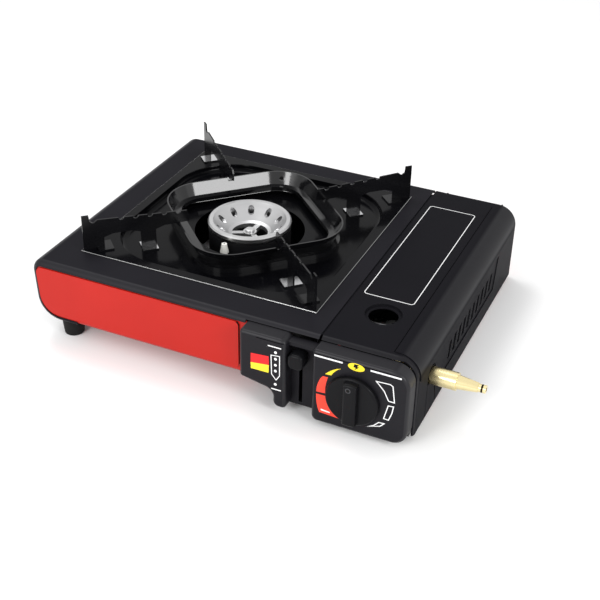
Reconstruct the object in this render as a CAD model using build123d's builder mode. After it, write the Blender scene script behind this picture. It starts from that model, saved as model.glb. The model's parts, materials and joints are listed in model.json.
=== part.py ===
from build123d import *
import os
from math import asin, atan2, cos, degrees, hypot, radians, sin

# Single burner gas stove, in millimetres.
# +X points right, +Y to the rear and +Z up. The origin is the middle of the body's footprint,
# on the surface that the feet stand on.

# Body and sheets
body_width = 345.0
body_depth = 275.0
deck_top = 75.0
cover_sheet = 1.0
cover_corner = 11.0
cover_curl = 22.0
cover_lean = 3.0
edge_roll = 6.5
floor_height = 17.7
pan_sheet = 1.2
seam = 0.3
cover_border = 5.0
strip_width = 42.0
pan_rim_drop = 4.5
emboss_height = 1.9
emboss_gap = 0.8
emboss_lip = 5.0
emboss_side_gap = 6.5
emboss_corner = 4.0

# Cartridge bay and its lid
bay_width = 80.5
lid_gap = 2.0
lid_shoulder = 18.0
shoulder_raise = 0.9
shoulder_drop = 20.0
shoulder_width = 21.1
crease_width = 1.2
crease_depth = 0.5
shoulder_front_band = 7.5
shoulder_rear_band = 13.5
trough_height = 5.0
trough_overlap = 30.0
trough_corner = 10.0
trough_inset = 3.3
trough_side_height = 23.0
lid_front_gap = 0.5
panel_top_gap = 0.6
finger_hole_side = 47.5
finger_hole_front = 52.0
finger_hole_radius = 12.0
finger_dish_radius = 16.0
finger_dish_depth = 3.0
vent_count = 10
vent_pitch = 12.6
vent_front = 80.5
vent_low = 27.0
vent_high = 42.5
vent_width = 6.0
vent_slant = 4.0
vent_panel_low = 21.5
vent_panel_depth = 0.7
vent_panel_front = 25.0
vent_panel_rear = 10.0

# Lid hinge
hinge_y_inset = 6.5
hinge_drop = 7.0
hinge_pin_radius = 2.0
hinge_ear_radius = 4.5
hinge_plate = 1.5
hinge_gap = 0.5
hinge_inset = 8.0
hinge_stem = 11.0
hinge_foot_height = 16.0
pin_fit = 0.05

# Drip tray, ring and pan supports
tray_inset = 123.2
tray_y = 0.8
tray_margin = 46.5
tray_sheet = 1.0
tray_land = 8.0
tray_edge_round = 0.6
tray_corner = 55.0
tray_depth = 7.0
tray_floor_fillet = 6.0
tray_hole_radius = 49.0
deck_hole_gap = 1.0
ring_sheet = 1.2
ring_width = 137.3
ring_flare = 7.5
ring_corner = 35.5
ring_skirt = 5.0
ring_skirt_height = 4.0
ring_rise = 15.0
ring_shelf = 5.0
ring_shelf_drop = 10.5
ring_shelf_lip = 2.4
ring_notch_radius = 3.0
ring_hole_radius = 2.0
ring_hole_angle = 97.0
ring_hole_drop = 6.0
fin_sheet = 1.4
fin_end_inset = 2.6
fin_spike_rise = 32.0
fin_spike_width = 6.6
fin_spike_taper = 0.6
fin_spike_root = 26.2
fin_dip_inset = 9.6
fin_dip_rise = 24.1
fin_tip_inset = 13.1
fin_tip_rise = 26.8
fin_hook_width = 2.3
fin_nose_reach = 9.5
fin_nose_lift = 0.4
fin_nose_inset = 1.6
fin_nose_rise = 22.7
fin_nose_drop = 3.5
fin_hook_rise = 5.0
fin_foot_length = 17.8
fin_arch_rise = 11.8
fin_arch_slope = 2.5
fin_leg_inset = 49.5
fin_leg_width = 13.3
fin_tab_width = 16.0
fin_tooth_count = 5
fin_tooth_depth = 2.3
fin_tooth_inset = 33.5
fin_tooth_pitch = 12.4

# Burner
burner_shift_x = -3.4
burner_shift_y = -1.5
burner_rim_radius = 37.0
burner_rim_top = 79.7
burner_rim_height = 5.0
burner_seat = 62.0
burner_base_radius = 36.6
burner_base_height = 19.0
burner_collar_rise = 10.6
burner_cup_gap = 0.4
burner_wall = 3.6
burner_air_radius = 16.0
burner_skin = 2.2
burner_lip = 1.2
burner_cup_lip = 4.5
burner_throat = 3.0
burner_web = 4.0
burner_port_count = 10
burner_port_height = 6.6
burner_port_width = 5.6
burner_port_drop = 5.8
burner_port_turn = 114.0
burner_spoke_count = 3
burner_spoke_width = 4.6
burner_spoke_turn = 87.0
burner_hub_radius = 6.0
burner_hub_height = 5.0
burner_screw_radius = 2.0
burner_screw_head = 4.2
burner_screw_head_height = 2.4
burner_nut_height = 3.2
burner_nut_radius = 4.0
bracket_sheet = 1.2
burner_bracket_half_length = 45.0
burner_bracket_width = 30.0
burner_bracket_foot = 12.0

# Gas way
jet_side = 7.5
jet_front = 54.3
tube_drop = 9.5
tube_radius = 7.5
tube_wall = 1.0
bell_radius = 9.5
bell_length = 33.0
bell_seat = 8.0
boss_radius = 8.0
window_length = 10.0
window_width = 7.0
shutter_wall = 1.2
shutter_length = 14.0
jet_hex_radius = 4.5
jet_hex_length = 5.0
jet_tip_radius = 2.0
jet_tip_length = 5.0
slip_fit = 0.05

# Valve, regulator and hose tail
knob_side = 45.2
knob_z = 36.4
valve_radius = 14.0
valve_front_gap = 5.0
valve_left_reach = 15.3
valve_right_reach = 14.7
valve_block_inset = 25.5
valve_block_length = 32.0
valve_block_high = 62.0
regulator_radius = 20.0
regulator_length = 14.0
regulator_side = 40.5
regulator_z = 40.0
regulator_socket_radius = 8.0
regulator_socket_depth = 8.0
nozzle_front = 37.8
nozzle_z = 41.0
nozzle_shank_radius = 5.0
nozzle_body_radius = 7.25
nozzle_body_inset = 14.5
nozzle_body_reach = 21.1
tail_root_radius = 5.8
tail_taper_length = 16.5
tail_shoulder = 0.6
tail_tip_radius = 3.3
tail_tip_length = 6.2
gas_bore_radius = 1.8
nut_flats = 17.0
nut_height = 6.0
notch_clear = 2.0
notch_slant = 8.0
tail_plate_front_gap = 0.85
tail_plate_rear_gap = 2.5
tail_plate_high = 36.0
tail_plate_gap = 0.3
tail_block_half = 4.5
tail_block_low = 8.0
tail_block_high = 24.0
valve_bracket_width = 20.0
valve_bracket_depth = 22.0

# Control panel and knob
panel_width = 142.0
panel_right_inset = 1.2
panel_depth = 12.5
panel_wall = 2.0
panel_low = 5.0
panel_top_drop = 3.0
panel_edge = 3.0
brim_drop = 3.3
brim_groove = 0.9
brim_depth = 0.8
panel_corner_top = 15.0
panel_corner_low = 12.0
panel_corner_small = 5.0
channel_side = 102.0
channel_width = 22.2
channel_floor = 1.7
channel_top_drop = 6.0
left_block_low = 27.8
left_leg_low = 7.1
left_leg_width = 10.9
left_leg_height = 15.0
left_swoop_radius = 8.0
knob_radius = 21.6
knob_skirt = 4.0
knob_gap = 0.6
knob_height = 9.5
knob_grip_width = 11.0
knob_grip_fillet = 2.5
spindle_radius = 3.0
spindle_flat = 2.2
spindle_socket = 10.0
panel_hole_gap = 1.0
wall_hole_gap = 5.0
panel_screw_radius = 1.5
panel_screw_length = 9.0
panel_post_radius = 3.5
panel_screw_inset = 9.0

# Cartridge locking lever
lever_side = 7.9
lever_sheet = 2.0
lever_pivot_front = 62.5
lever_pivot_z = 27.5
lever_knob_z = 54.6
lever_reach = 75.0
lever_half_width = 4.0
lever_boss_radius = 5.5
lever_finger_step = 4.0
lever_finger_z = 37.5
lever_finger_radius = 2.5
lever_knob_width = 13.0
lever_knob_height = 13.5
lever_knob_depth = 11.0
lever_tongue_height = 5.0
lever_tongue_length = 6.0
lever_knob_corner = 4.5
lever_knob_fillet = 2.5
slot_width = 3.0
slot_low = 9.4
slot_high = 63.0
pivot_pin_radius = 2.5
pivot_plate = 1.2
pivot_plate_gap = 2.2
pivot_ear_radius = 6.5
pivot_head_radius = 4.0
pivot_head_height = 1.0
fork_sheet = 1.5
fork_gap = 0.8
fork_arm_width = 6.0
fork_arm_low = 34.0
fork_arm_high = 38.5
fork_elbow_side = 12.0
fork_front = 81.5
fork_height = 50.0
fork_half_width = 26.0
fork_throat_radius = 14.0
fork_shoe_length = 26.0
fork_lift = 0.3
fork_travel = 5.0

# Heat shield
shield_sheet = 1.0
shield_side = 4.0
shield_flange = 9.0
shield_flange_drop = 0.3
shield_flange_inset = 13.5
shield_foot = 5.0
shield_end_gap = 0.6
shield_hole_gap = 0.8

# Igniter
piezo_length = 16.0
piezo_width = 24.0
piezo_height = 10.0
piezo_lift = 0.6
electrode_angle = -94.5
electrode_radius = 42.5
ceramic_radius = 3.0
ceramic_top = 75.0
ceramic_tip_radius = 2.3
ceramic_flare_radius = 3.9
ceramic_flare_height = 8.0
ceramic_low = 36.0
ceramic_collar_radius = 4.5
ceramic_collar_height = 3.0
pin_radius = 0.8
pin_top = 76.0
electrode_bracket_width = 12.0
electrode_bracket_start = 24.0
lead_radius = 1.5
lead_bends = (6.0, 8.0, 8.0, 8.0, 12.0, 5.0)
lead_drop = 9.0
lead_clear = 4.5
lead_run_side = 9.0
lead_rise_front = 37.5
lead_gate_front = 87.5
lead_dip_side = 17.0
lead_dip_z = 45.0
lead_low_side = 54.0
lead_low_front = 54.0
lead_low_z = 28.0

# Feet
foot_radius = 10.0
foot_taper = 1.5
foot_left_inset = 26.9
foot_right_inset = 22.5
foot_end_inset = 16.5
foot_recess_radius = 5.0
foot_screw_radius = 1.5
foot_screw_head = 3.5
foot_screw_head_height = 1.6
foot_recess_share = 0.5

# Places worked out from the sizes above
left = -body_width / 2
right = body_width / 2
front = -body_depth / 2
rear = body_depth / 2
deck_split = right - bay_width
shoulder_crease = right - shoulder_width
trough_step = deck_split - trough_overlap
finger_hole_x = right - finger_hole_side
finger_hole_y = front + finger_hole_front
vent_first_y = front + vent_front
tray_x = deck_split - tray_inset
tray_side = body_width - bay_width - tray_margin
burner_x = tray_x + burner_shift_x
burner_y = tray_y + burner_shift_y
jet_x = deck_split + jet_side
jet_y = front + jet_front
knob_x = right - knob_side
valve_block_left = knob_x - valve_left_reach
valve_block_right = knob_x + valve_right_reach
valve_block_front = front + valve_block_inset
valve_block_rear = valve_block_front + valve_block_length
regulator_x = right - regulator_side
nozzle_y = front + nozzle_front
nozzle_body_start = right - nozzle_body_inset
nozzle_body_end = right + nozzle_body_reach
panel_left = right - panel_width
emboss_right = panel_left - emboss_side_gap
channel_left = right - channel_side
channel_right = channel_left + channel_width
lever_x = channel_left + lever_side
lever_pivot_y = front + lever_pivot_front
lever_finger_y = lever_pivot_y + lever_finger_step
fork_elbow_x = deck_split + fork_elbow_side
fork_y = front + fork_front
shield_x = deck_split - shield_side
shield_flange_rear = rear - shield_flange_inset
lead_run_x = deck_split + lead_run_side
lead_rise_y = front + lead_rise_front
lead_gate_y = front + lead_gate_front
lead_dip_x = deck_split - lead_dip_side
lead_low_x = burner_x + lead_low_side
lead_low_y = burner_y - lead_low_front
foot_x_left = left + foot_left_inset
foot_x_right = right - foot_right_inset
foot_y = rear - foot_end_inset
pan_inset = cover_sheet + seam
pan_front = front + pan_inset
pan_rear = rear - pan_inset
pan_floor = floor_height + pan_inset + pan_sheet
pan_rim = deck_top - pan_rim_drop
trough_floor = trough_height + pan_sheet
trough_right = right - trough_inset
lid_left = deck_split + lid_gap
lid_under = deck_top - cover_sheet
panel_face = front - panel_depth
panel_back = pan_front
panel_top = deck_top - panel_top_drop
panel_right = right - panel_right_inset
hinge_y = rear - hinge_y_inset
hinge_z = deck_top - hinge_drop
tray_top = deck_top + tray_sheet
tray_floor = tray_top - tray_depth
tray_recess = tray_side - 2 * tray_land
base_low = burner_seat - burner_base_height
tube_z = burner_seat - tube_drop
jet_distance = hypot(jet_x - burner_x, jet_y - burner_y)
jet_dir = Vector((jet_x - burner_x) / jet_distance, (jet_y - burner_y) / jet_distance, 0)
bell_end = jet_distance + bell_seat
bell_start = bell_end - bell_length
valve_block_low = knob_z - valve_radius
valve_front = pan_front + pan_sheet + valve_front_gap
lever_angle = degrees(asin((lever_knob_z - lever_pivot_z) / lever_reach))
lever_knob_y = lever_pivot_y - lever_reach * cos(radians(lever_angle))
electrode_x = burner_x + electrode_radius * cos(radians(electrode_angle))
electrode_y = burner_y + electrode_radius * sin(radians(electrode_angle))
strip_edge = left + strip_width
far = body_width + body_depth
piezo_left = (valve_block_left + valve_block_right - piezo_width) / 2
piezo_middle_y = valve_block_front - piezo_length / 2
piezo_low = knob_z + valve_radius + piezo_lift
lead_z = piezo_low + piezo_height / 2
lead_high = tube_z + bell_radius + lead_clear
lead_fall = (lead_high - lead_dip_z) / (lead_run_x - lead_dip_x)
lead_gate_z = lead_high - lead_fall * (lead_run_x - shield_x - shield_sheet / 2)
lead_points = [
    (piezo_left, piezo_middle_y, lead_z),
    (lead_run_x, piezo_middle_y, lead_z),
    (lead_run_x, lead_rise_y, lead_high),
    (lead_run_x, lead_gate_y, lead_high),
    (lead_dip_x, lead_gate_y, lead_dip_z),
    (lead_low_x, lead_low_y, lead_low_z),
    (electrode_x, electrode_y, ceramic_low - lead_drop),
    (electrode_x, electrode_y, ceramic_low),
]
foot_spots = [(x, y) for x in (foot_x_left, foot_x_right) for y in (-foot_y, foot_y)]
panel_screw_spots = [
    (panel_left + panel_screw_inset, panel_top - panel_screw_inset),
    (channel_right + panel_screw_inset, panel_low + panel_screw_inset),
    (panel_right - panel_screw_inset, panel_low + panel_screw_inset),
    (panel_right - panel_screw_inset, panel_top - panel_screw_inset),
]

os.makedirs("parts", exist_ok=True)


def finish(builder, name):
    """Label a finished piece and write it."""
    builder.part.label = name
    export_step(builder.part, f"parts/{name}.step")


def cutter(x, y, z):
    """Box between two corners given as (low, high) pairs, taken away from the current part."""
    with Locations(((x[0] + x[1]) / 2, (y[0] + y[1]) / 2, (z[0] + z[1]) / 2)):
        Box(x[1] - x[0], y[1] - y[0], z[1] - z[0], mode=Mode.SUBTRACT)


def slab(x, y, z):
    """Box between two corners given as (low, high) pairs, added to the current part."""
    with Locations(((x[0] + x[1]) / 2, (y[0] + y[1]) / 2, (z[0] + z[1]) / 2)):
        Box(x[1] - x[0], y[1] - y[0], z[1] - z[0])


def along_tube(distance):
    """Plane square to the mixing tube, at a distance from the burner's axis."""
    return Plane(
        origin=(burner_x + jet_dir.X * distance, burner_y + jet_dir.Y * distance, tube_z),
        x_dir=(0, 0, 1),
        z_dir=jet_dir,
    )


def cover_block(inset, right_edge):
    """The wrap-round body shape, drawn in by inset, with rolled front and rear edges."""
    with BuildPart() as block:
        with BuildSketch(Plane.XZ.offset(inset - rear)):
            with BuildLine():
                FilletPolyline(
                    (right_edge, deck_top - inset),
                    (left + inset, deck_top - inset),
                    (left + cover_lean + inset, floor_height + inset),
                    (right_edge, floor_height + inset),
                    radius=(0, cover_corner - inset, cover_curl - inset, 0),
                    close=True,
                )
            make_face()
        extrude(amount=body_depth - 2 * inset)
        ends = block.faces().filter_by(Axis.Y).edges().filter_by(Axis.X)
        fillet(ends.group_by(Axis.Z)[-1], edge_roll - inset)
    return block.part


def lid_block(inset, left_edge, extra=0.0):
    """The lid's shape, drawn in by inset, with rolled front and rear edges."""
    with BuildPart() as block:
        with BuildSketch(Plane.XZ.offset(inset - rear)):
            with BuildLine():
                FilletPolyline(
                    (left_edge, deck_top - inset),
                    (right - inset, deck_top - inset),
                    (right - inset, trough_height - extra),
                    (left_edge, trough_height - extra),
                    radius=(0, lid_shoulder - inset, 0, 0),
                    close=True,
                )
            make_face()
        extrude(amount=body_depth - 2 * inset)
        ends = block.faces().filter_by(Axis.Y).edges().filter_by(Axis.X)
        fillet(ends.group_by(Axis.Z)[-1], edge_roll - inset)
    return block.part


# Top cover: deck, left side and lower left curl
with BuildPart() as top_cover:
    add(cover_block(0, deck_split))
    add(cover_block(cover_sheet, deck_split + cover_sheet), mode=Mode.SUBTRACT)
    with BuildSketch(Plane.XZ.offset(-far)):
        with BuildLine():
            FilletPolyline(
                (deck_split + cover_border, deck_top - cover_border),
                (left + cover_border, deck_top - cover_border),
                (left + cover_lean + cover_border, floor_height + cover_border),
                (deck_split + cover_border, floor_height + cover_border),
                radius=(0, cover_corner - cover_border, cover_curl - cover_border, 0),
                close=True,
            )
        make_face()
    extrude(amount=2 * far, mode=Mode.SUBTRACT)
    cutter((strip_edge, far), (-far, far), (-far, floor_height + cover_border))
    cutter((left + cover_curl, far), (-far, front + cover_sheet), (-far, floor_height + cover_border))
    cutter((panel_left - emboss_gap, far), (-far, front + edge_roll), (-far, panel_top + panel_top_gap))
    with Locations((tray_x, tray_y, deck_top)):
        deck_hole = tray_recess + 2 * (tray_sheet + deck_hole_gap)
        Box(deck_hole, deck_hole, 4 * cover_sheet, mode=Mode.SUBTRACT)
    with Locations((foot_x_left, -foot_y, floor_height), (foot_x_left, foot_y, floor_height)):
        Cylinder(foot_screw_radius + slip_fit, 4 * cover_sheet, mode=Mode.SUBTRACT)
finish(top_cover, "top_cover")


def emboss_block(drawn_in):
    """Raised field of the pan's front, drawn in by a sheet for its hollow."""
    edge = cover_border + emboss_gap + drawn_in
    low = pan_floor + emboss_lip + drawn_in
    with BuildPart() as block:
        with BuildSketch(Plane.XZ.offset(-pan_front - drawn_in)):
            with BuildLine():
                FilletPolyline(
                    (emboss_right - drawn_in, deck_top - edge),
                    (left + edge, deck_top - edge),
                    (left + cover_lean + edge, low),
                    (emboss_right - drawn_in, low),
                    radius=(
                        emboss_corner,
                        cover_corner - cover_border,
                        cover_curl - cover_border,
                        emboss_corner,
                    ),
                    close=True,
                )
            make_face()
        extrude(amount=emboss_height)
    return block.part


# Base pan: floor, front and rear walls, embossed front and the deeper cartridge trough
with BuildPart() as trough_block:
    slab((trough_step, trough_right), (pan_front, pan_rear), (trough_height, deck_top - edge_roll))
    right_edges = trough_block.edges().filter_by(Axis.Y).group_by(Axis.X)[-1]
    fillet(right_edges.sort_by(Axis.Z)[-1], trough_corner)
with BuildPart() as base_pan:
    add(cover_block(pan_inset, trough_step))
    add(cover_block(pan_inset + pan_sheet, trough_step + pan_sheet), mode=Mode.SUBTRACT)
    cutter((left + cover_curl, far), (pan_front + pan_sheet, pan_rear - pan_sheet), (pan_floor, far))
    add(trough_block.part)
    cutter(
        (trough_step + pan_sheet, trough_right - pan_sheet),
        (pan_front + pan_sheet, pan_rear - pan_sheet),
        (trough_floor, far),
    )
    cutter(
        (trough_step, trough_step + pan_sheet),
        (pan_front + pan_sheet, pan_rear - pan_sheet),
        (pan_floor, far),
    )
    cutter((-far, far), (-far, far), (pan_rim, far))
    cutter(
        (trough_right - pan_sheet, far),
        (pan_front + pan_sheet, pan_rear - pan_sheet),
        (trough_height + trough_side_height, far),
    )
    cutter((deck_split, far), (pan_rear - 2 * pan_sheet, far), (hinge_z - hinge_stem, far))
    # Raised field of the front, hollow behind
    add(emboss_block(0))
    add(emboss_block(pan_sheet), mode=Mode.SUBTRACT)
    # Ways through the front wall for the spindle, the lever and the panel screws
    with BuildSketch(Plane.XZ.offset(-pan_front - 2 * pan_sheet)):
        with Locations((knob_x, knob_z)):
            Circle(spindle_radius + wall_hole_gap)
        with Locations((lever_x, (slot_low + slot_high) / 2)):
            Rectangle(slot_width + panel_hole_gap, slot_high - slot_low)
        with Locations(*panel_screw_spots):
            Circle(panel_screw_radius + slip_fit)
    extrude(amount=4 * pan_sheet, mode=Mode.SUBTRACT)
    with Locations(*[(x, y, pan_floor) for x, y in foot_spots]):
        Cylinder(foot_screw_radius + slip_fit, 4 * deck_top, mode=Mode.SUBTRACT)
finish(base_pan, "base_pan")


# Drip tray: square rim on the deck, rounded recess, hole for the burner
def recess_block(drawn_in, low, high):
    """Rounded recess of the tray between two heights, with a filleted floor."""
    side = tray_recess - 2 * drawn_in
    with BuildPart() as block:
        with BuildSketch(Plane.XY.offset(low)):
            with Locations((tray_x, tray_y)):
                RectangleRounded(side, side, tray_corner - drawn_in)
        extrude(amount=high - low)
        fillet(block.faces().sort_by(Axis.Z)[0].edges(), tray_floor_fillet - drawn_in)
    return block.part


with BuildPart() as drip_tray:
    with BuildSketch(Plane.XY.offset(deck_top)):
        with Locations((tray_x, tray_y)):
            Rectangle(tray_side, tray_side)
    extrude(amount=tray_sheet)
    fillet(drip_tray.faces().sort_by(Axis.Z)[-1].edges(), tray_edge_round)
    add(recess_block(0, tray_floor - tray_sheet, tray_top))
    add(recess_block(tray_sheet, tray_floor, tray_top + tray_depth), mode=Mode.SUBTRACT)
    with Locations((burner_x, burner_y, tray_floor)):
        Cylinder(tray_hole_radius, 4 * tray_sheet, mode=Mode.SUBTRACT)
finish(drip_tray, "drip_tray")

# Pan ring: collar with a skirt on the tray floor, a flared wall and an inner shelf
ring_ledge = tray_floor + ring_skirt_height
ring_top = ring_ledge + ring_rise
ring_lean = ring_flare / ring_rise
turned = Plane(origin=(tray_x, tray_y, 0), x_dir=(1, 1, 0), z_dir=(0, 0, 1))


def ring_layer(low, high, drawn_in):
    """Upright layer of the collar between two heights, measured from the foot of its wall."""
    side = ring_width - 2 * ring_flare - 2 * drawn_in
    with BuildPart() as layer:
        with BuildSketch(turned.offset(low)):
            RectangleRounded(side, side, ring_corner - ring_flare - drawn_in)
        extrude(amount=high - low)
    return layer.part


def ring_funnel(drawn_in, reach):
    """Flared inside of the collar's wall, drawn in, and running past both ends by a reach."""
    with BuildPart() as funnel:
        for height in (ring_ledge - reach, ring_top + reach):
            inward = (ring_top - height) * ring_lean + drawn_in
            with BuildSketch(turned.offset(height)):
                RectangleRounded(ring_width - 2 * inward, ring_width - 2 * inward, ring_corner - inward)
        loft()
    return funnel.part


shelf_top = ring_top - ring_shelf_drop
shelf_low = shelf_top - ring_sheet
shelf_edge = ring_sheet / 3 - (shelf_low - ring_ledge) * ring_lean
with BuildPart() as pan_ring:
    add(ring_layer(tray_floor, ring_ledge, -ring_skirt))
    add(ring_layer(tray_floor, ring_ledge - ring_sheet, ring_sheet - ring_skirt), mode=Mode.SUBTRACT)
    add(ring_funnel(0, 0))
    add(ring_funnel(ring_sheet, ring_sheet), mode=Mode.SUBTRACT)
    # Shelf with a turned-down lip
    add(ring_layer(shelf_low, shelf_top, shelf_edge))
    add(ring_layer(shelf_low - ring_shelf_lip, shelf_low, ring_shelf - ring_sheet))
    add(ring_layer(shelf_low - ring_shelf_lip, shelf_top, ring_shelf), mode=Mode.SUBTRACT)
    # A notch for each fin, and a hole at the rear corner
    for quarter in range(4):
        side = turned.rotated((0, 0, 90 * quarter)).offset(ring_top)
        with BuildSketch(Plane(origin=side.origin, x_dir=side.y_dir, z_dir=side.x_dir)):
            Circle(ring_notch_radius)
        extrude(amount=ring_width, mode=Mode.SUBTRACT)
    hole_way = Vector(cos(radians(ring_hole_angle)), sin(radians(ring_hole_angle)), 0)
    with BuildSketch(Plane(origin=(tray_x, tray_y, ring_top - ring_hole_drop), z_dir=hole_way)):
        Circle(ring_hole_radius)
    extrude(amount=ring_width, mode=Mode.SUBTRACT)
finish(pan_ring, "pan_ring")

# Pan supports: one sheet fin on each diagonal, from the ring to the corner of the tray
fin_start = ring_width / 2
fin_end = tray_side / 2 * 2**0.5 - fin_end_inset
hook_low = tray_top + fin_hook_rise
nose_tip = fin_start - fin_nose_reach
nose_start = nose_tip + fin_nose_inset
spike_start = fin_end - fin_spike_width
foot_start = fin_end - fin_foot_length
leg_end = fin_end - fin_leg_inset
leg_start = leg_end - fin_leg_width
arch_z = tray_top + fin_arch_rise
arch_side = arch_z - fin_arch_slope
arch_run = 3 * fin_arch_slope
nose_z = tray_top + fin_nose_rise
rest_slope = (fin_tip_rise - fin_nose_rise) / (fin_end - fin_tip_inset - nose_start)
fin_names = ("rear_right", "rear_left", "front_left", "front_right")
for quarter, corner in enumerate(fin_names):
    outward = turned.rotated((0, 0, 90 * quarter))
    upright = Plane(origin=outward.origin, x_dir=outward.x_dir, z_dir=-outward.y_dir)
    with BuildPart() as fin:
        with BuildSketch(upright):
            with BuildLine():
                Polyline(
                    (fin_start - (ring_top - hook_low) * ring_lean, hook_low),
                    (fin_start, ring_top),
                    (nose_tip, ring_top + fin_nose_lift),
                    (nose_tip, nose_z - fin_nose_drop),
                    (nose_start, nose_z),
                    (fin_end - fin_tip_inset, tray_top + fin_tip_rise),
                    (fin_end - fin_dip_inset, tray_top + fin_dip_rise),
                    (spike_start, tray_top + fin_spike_root),
                    (spike_start + fin_spike_taper, tray_top + fin_spike_rise),
                    (fin_end, tray_top + fin_spike_rise),
                    (fin_end, tray_top),
                    (foot_start, tray_top),
                    (foot_start, arch_side),
                    (foot_start - arch_run, arch_z),
                    (leg_end + arch_run, arch_z),
                    (leg_end, arch_side),
                    (leg_end, tray_floor),
                    (leg_start, tray_floor),
                    (leg_start, arch_side),
                    (leg_start - arch_run, arch_z),
                    (fin_start + fin_hook_width, arch_z),
                    close=True,
                )
            make_face()
            for tooth in range(fin_tooth_count):
                along = fin_end - fin_tooth_inset - tooth * fin_tooth_pitch
                with Locations((along, nose_z + (along - nose_start) * rest_slope)):
                    Circle(fin_tooth_depth, mode=Mode.SUBTRACT)
        extrude(amount=fin_sheet / 2, both=True)
        # Tabs bent out on the tray floor and on the tray's rim
        with BuildSketch(outward.offset(tray_floor)):
            with Locations(((leg_start + leg_end) / 2, 0)):
                Rectangle(fin_leg_width, fin_tab_width)
        extrude(amount=fin_sheet)
        with BuildSketch(outward.offset(tray_top)):
            with Locations((foot_start, 0)):
                Rectangle(fin_leg_width, fin_tab_width)
        extrude(amount=fin_sheet)
    finish(fin, f"pan_fin_{corner}")

# Burner head: cast cup with a gas chamber behind its sloping wall, ports, spokes and hub
burner_axis = Axis((burner_x, burner_y, 0), (0, 0, 1))
burner_section = Plane(origin=(burner_x, burner_y, 0), x_dir=(1, 0, 0), z_dir=(0, -1, 0))
cup_radius = burner_base_radius - burner_wall - burner_cup_gap
cup_mouth = burner_rim_radius - burner_cup_lip - burner_lip
cup_foot = burner_air_radius + burner_throat
cup_foot_z = burner_seat + burner_web + burner_lip
chamber_inner = burner_air_radius + burner_web
chamber_outer = cup_radius - burner_skin
chamber_top = burner_rim_top - 3 * burner_skin
port_z = burner_rim_top - burner_port_drop
rim_low = burner_rim_top - burner_rim_height
with BuildPart() as burner_head:
    with BuildSketch(burner_section):
        with BuildLine():
            Polyline(
                (burner_air_radius, burner_seat),
                (cup_radius, burner_seat),
                (cup_radius, rim_low),
                (burner_rim_radius - burner_lip, rim_low),
                (burner_rim_radius, rim_low + burner_lip),
                (burner_rim_radius, burner_rim_top - burner_lip),
                (burner_rim_radius - burner_lip, burner_rim_top),
                (cup_mouth + burner_lip, burner_rim_top),
                (cup_mouth, burner_rim_top - burner_lip),
                (cup_foot, cup_foot_z),
                (burner_air_radius, burner_seat + burner_web),
                close=True,
            )
        make_face()
        with BuildLine():
            Polyline(
                (chamber_inner, burner_seat),
                (chamber_outer, burner_seat),
                (chamber_outer, chamber_top),
                (cup_foot + 2 * burner_skin, cup_foot_z + burner_skin),
                (chamber_inner, burner_seat + burner_skin),
                close=True,
            )
        make_face(mode=Mode.SUBTRACT)
    revolve(axis=burner_axis)
    for port in range(burner_port_count):
        turn = radians(360 * port / burner_port_count + burner_port_turn)
        outward = Vector(cos(turn), sin(turn), 0)
        start = Vector(burner_x, burner_y, port_z) + outward * burner_air_radius
        with BuildSketch(Plane(origin=start, x_dir=(0, 0, 1), z_dir=outward)):
            SlotOverall(burner_port_height, burner_port_width)
        extrude(amount=chamber_outer - burner_lip / 2 - burner_air_radius, mode=Mode.SUBTRACT)
    for spoke in range(burner_spoke_count):
        turn = 360 * spoke / burner_spoke_count + burner_spoke_turn
        arm = Plane(origin=(burner_x, burner_y, burner_seat), z_dir=(0, 0, 1)).rotated((0, 0, turn))
        with BuildSketch(arm):
            with Locations((burner_air_radius / 2, 0)):
                Rectangle(burner_air_radius + burner_lip, burner_spoke_width)
        extrude(amount=burner_web)
    with BuildSketch(Plane.XY.offset(burner_seat)):
        with Locations((burner_x, burner_y)):
            Circle(burner_hub_radius)
    extrude(amount=burner_hub_height)
    with Locations((burner_x, burner_y, burner_seat)):
        Cylinder(burner_screw_radius + slip_fit, 4 * burner_hub_height, mode=Mode.SUBTRACT)
finish(burner_head, "burner_head")

# Burner base: collar and gas channel under the head
with BuildPart() as burner_base:
    with BuildSketch(burner_section):
        with BuildLine():
            Polyline(
                (burner_air_radius, base_low),
                (burner_base_radius, base_low),
                (burner_base_radius, burner_seat + burner_collar_rise),
                (burner_base_radius - burner_wall, burner_seat + burner_collar_rise),
                (burner_base_radius - burner_wall, burner_seat),
                (chamber_outer, burner_seat),
                (chamber_outer, base_low + burner_skin / 2),
                (chamber_inner, base_low + burner_skin / 2),
                (chamber_inner, burner_seat),
                (burner_air_radius, burner_seat),
                close=True,
            )
        make_face()
    revolve(axis=burner_axis)
    with BuildSketch(along_tube(chamber_outer - burner_skin)):
        Circle(tube_radius + slip_fit)
    extrude(amount=2 * burner_wall + burner_skin, mode=Mode.SUBTRACT)
finish(burner_base, "burner_base")

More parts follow.
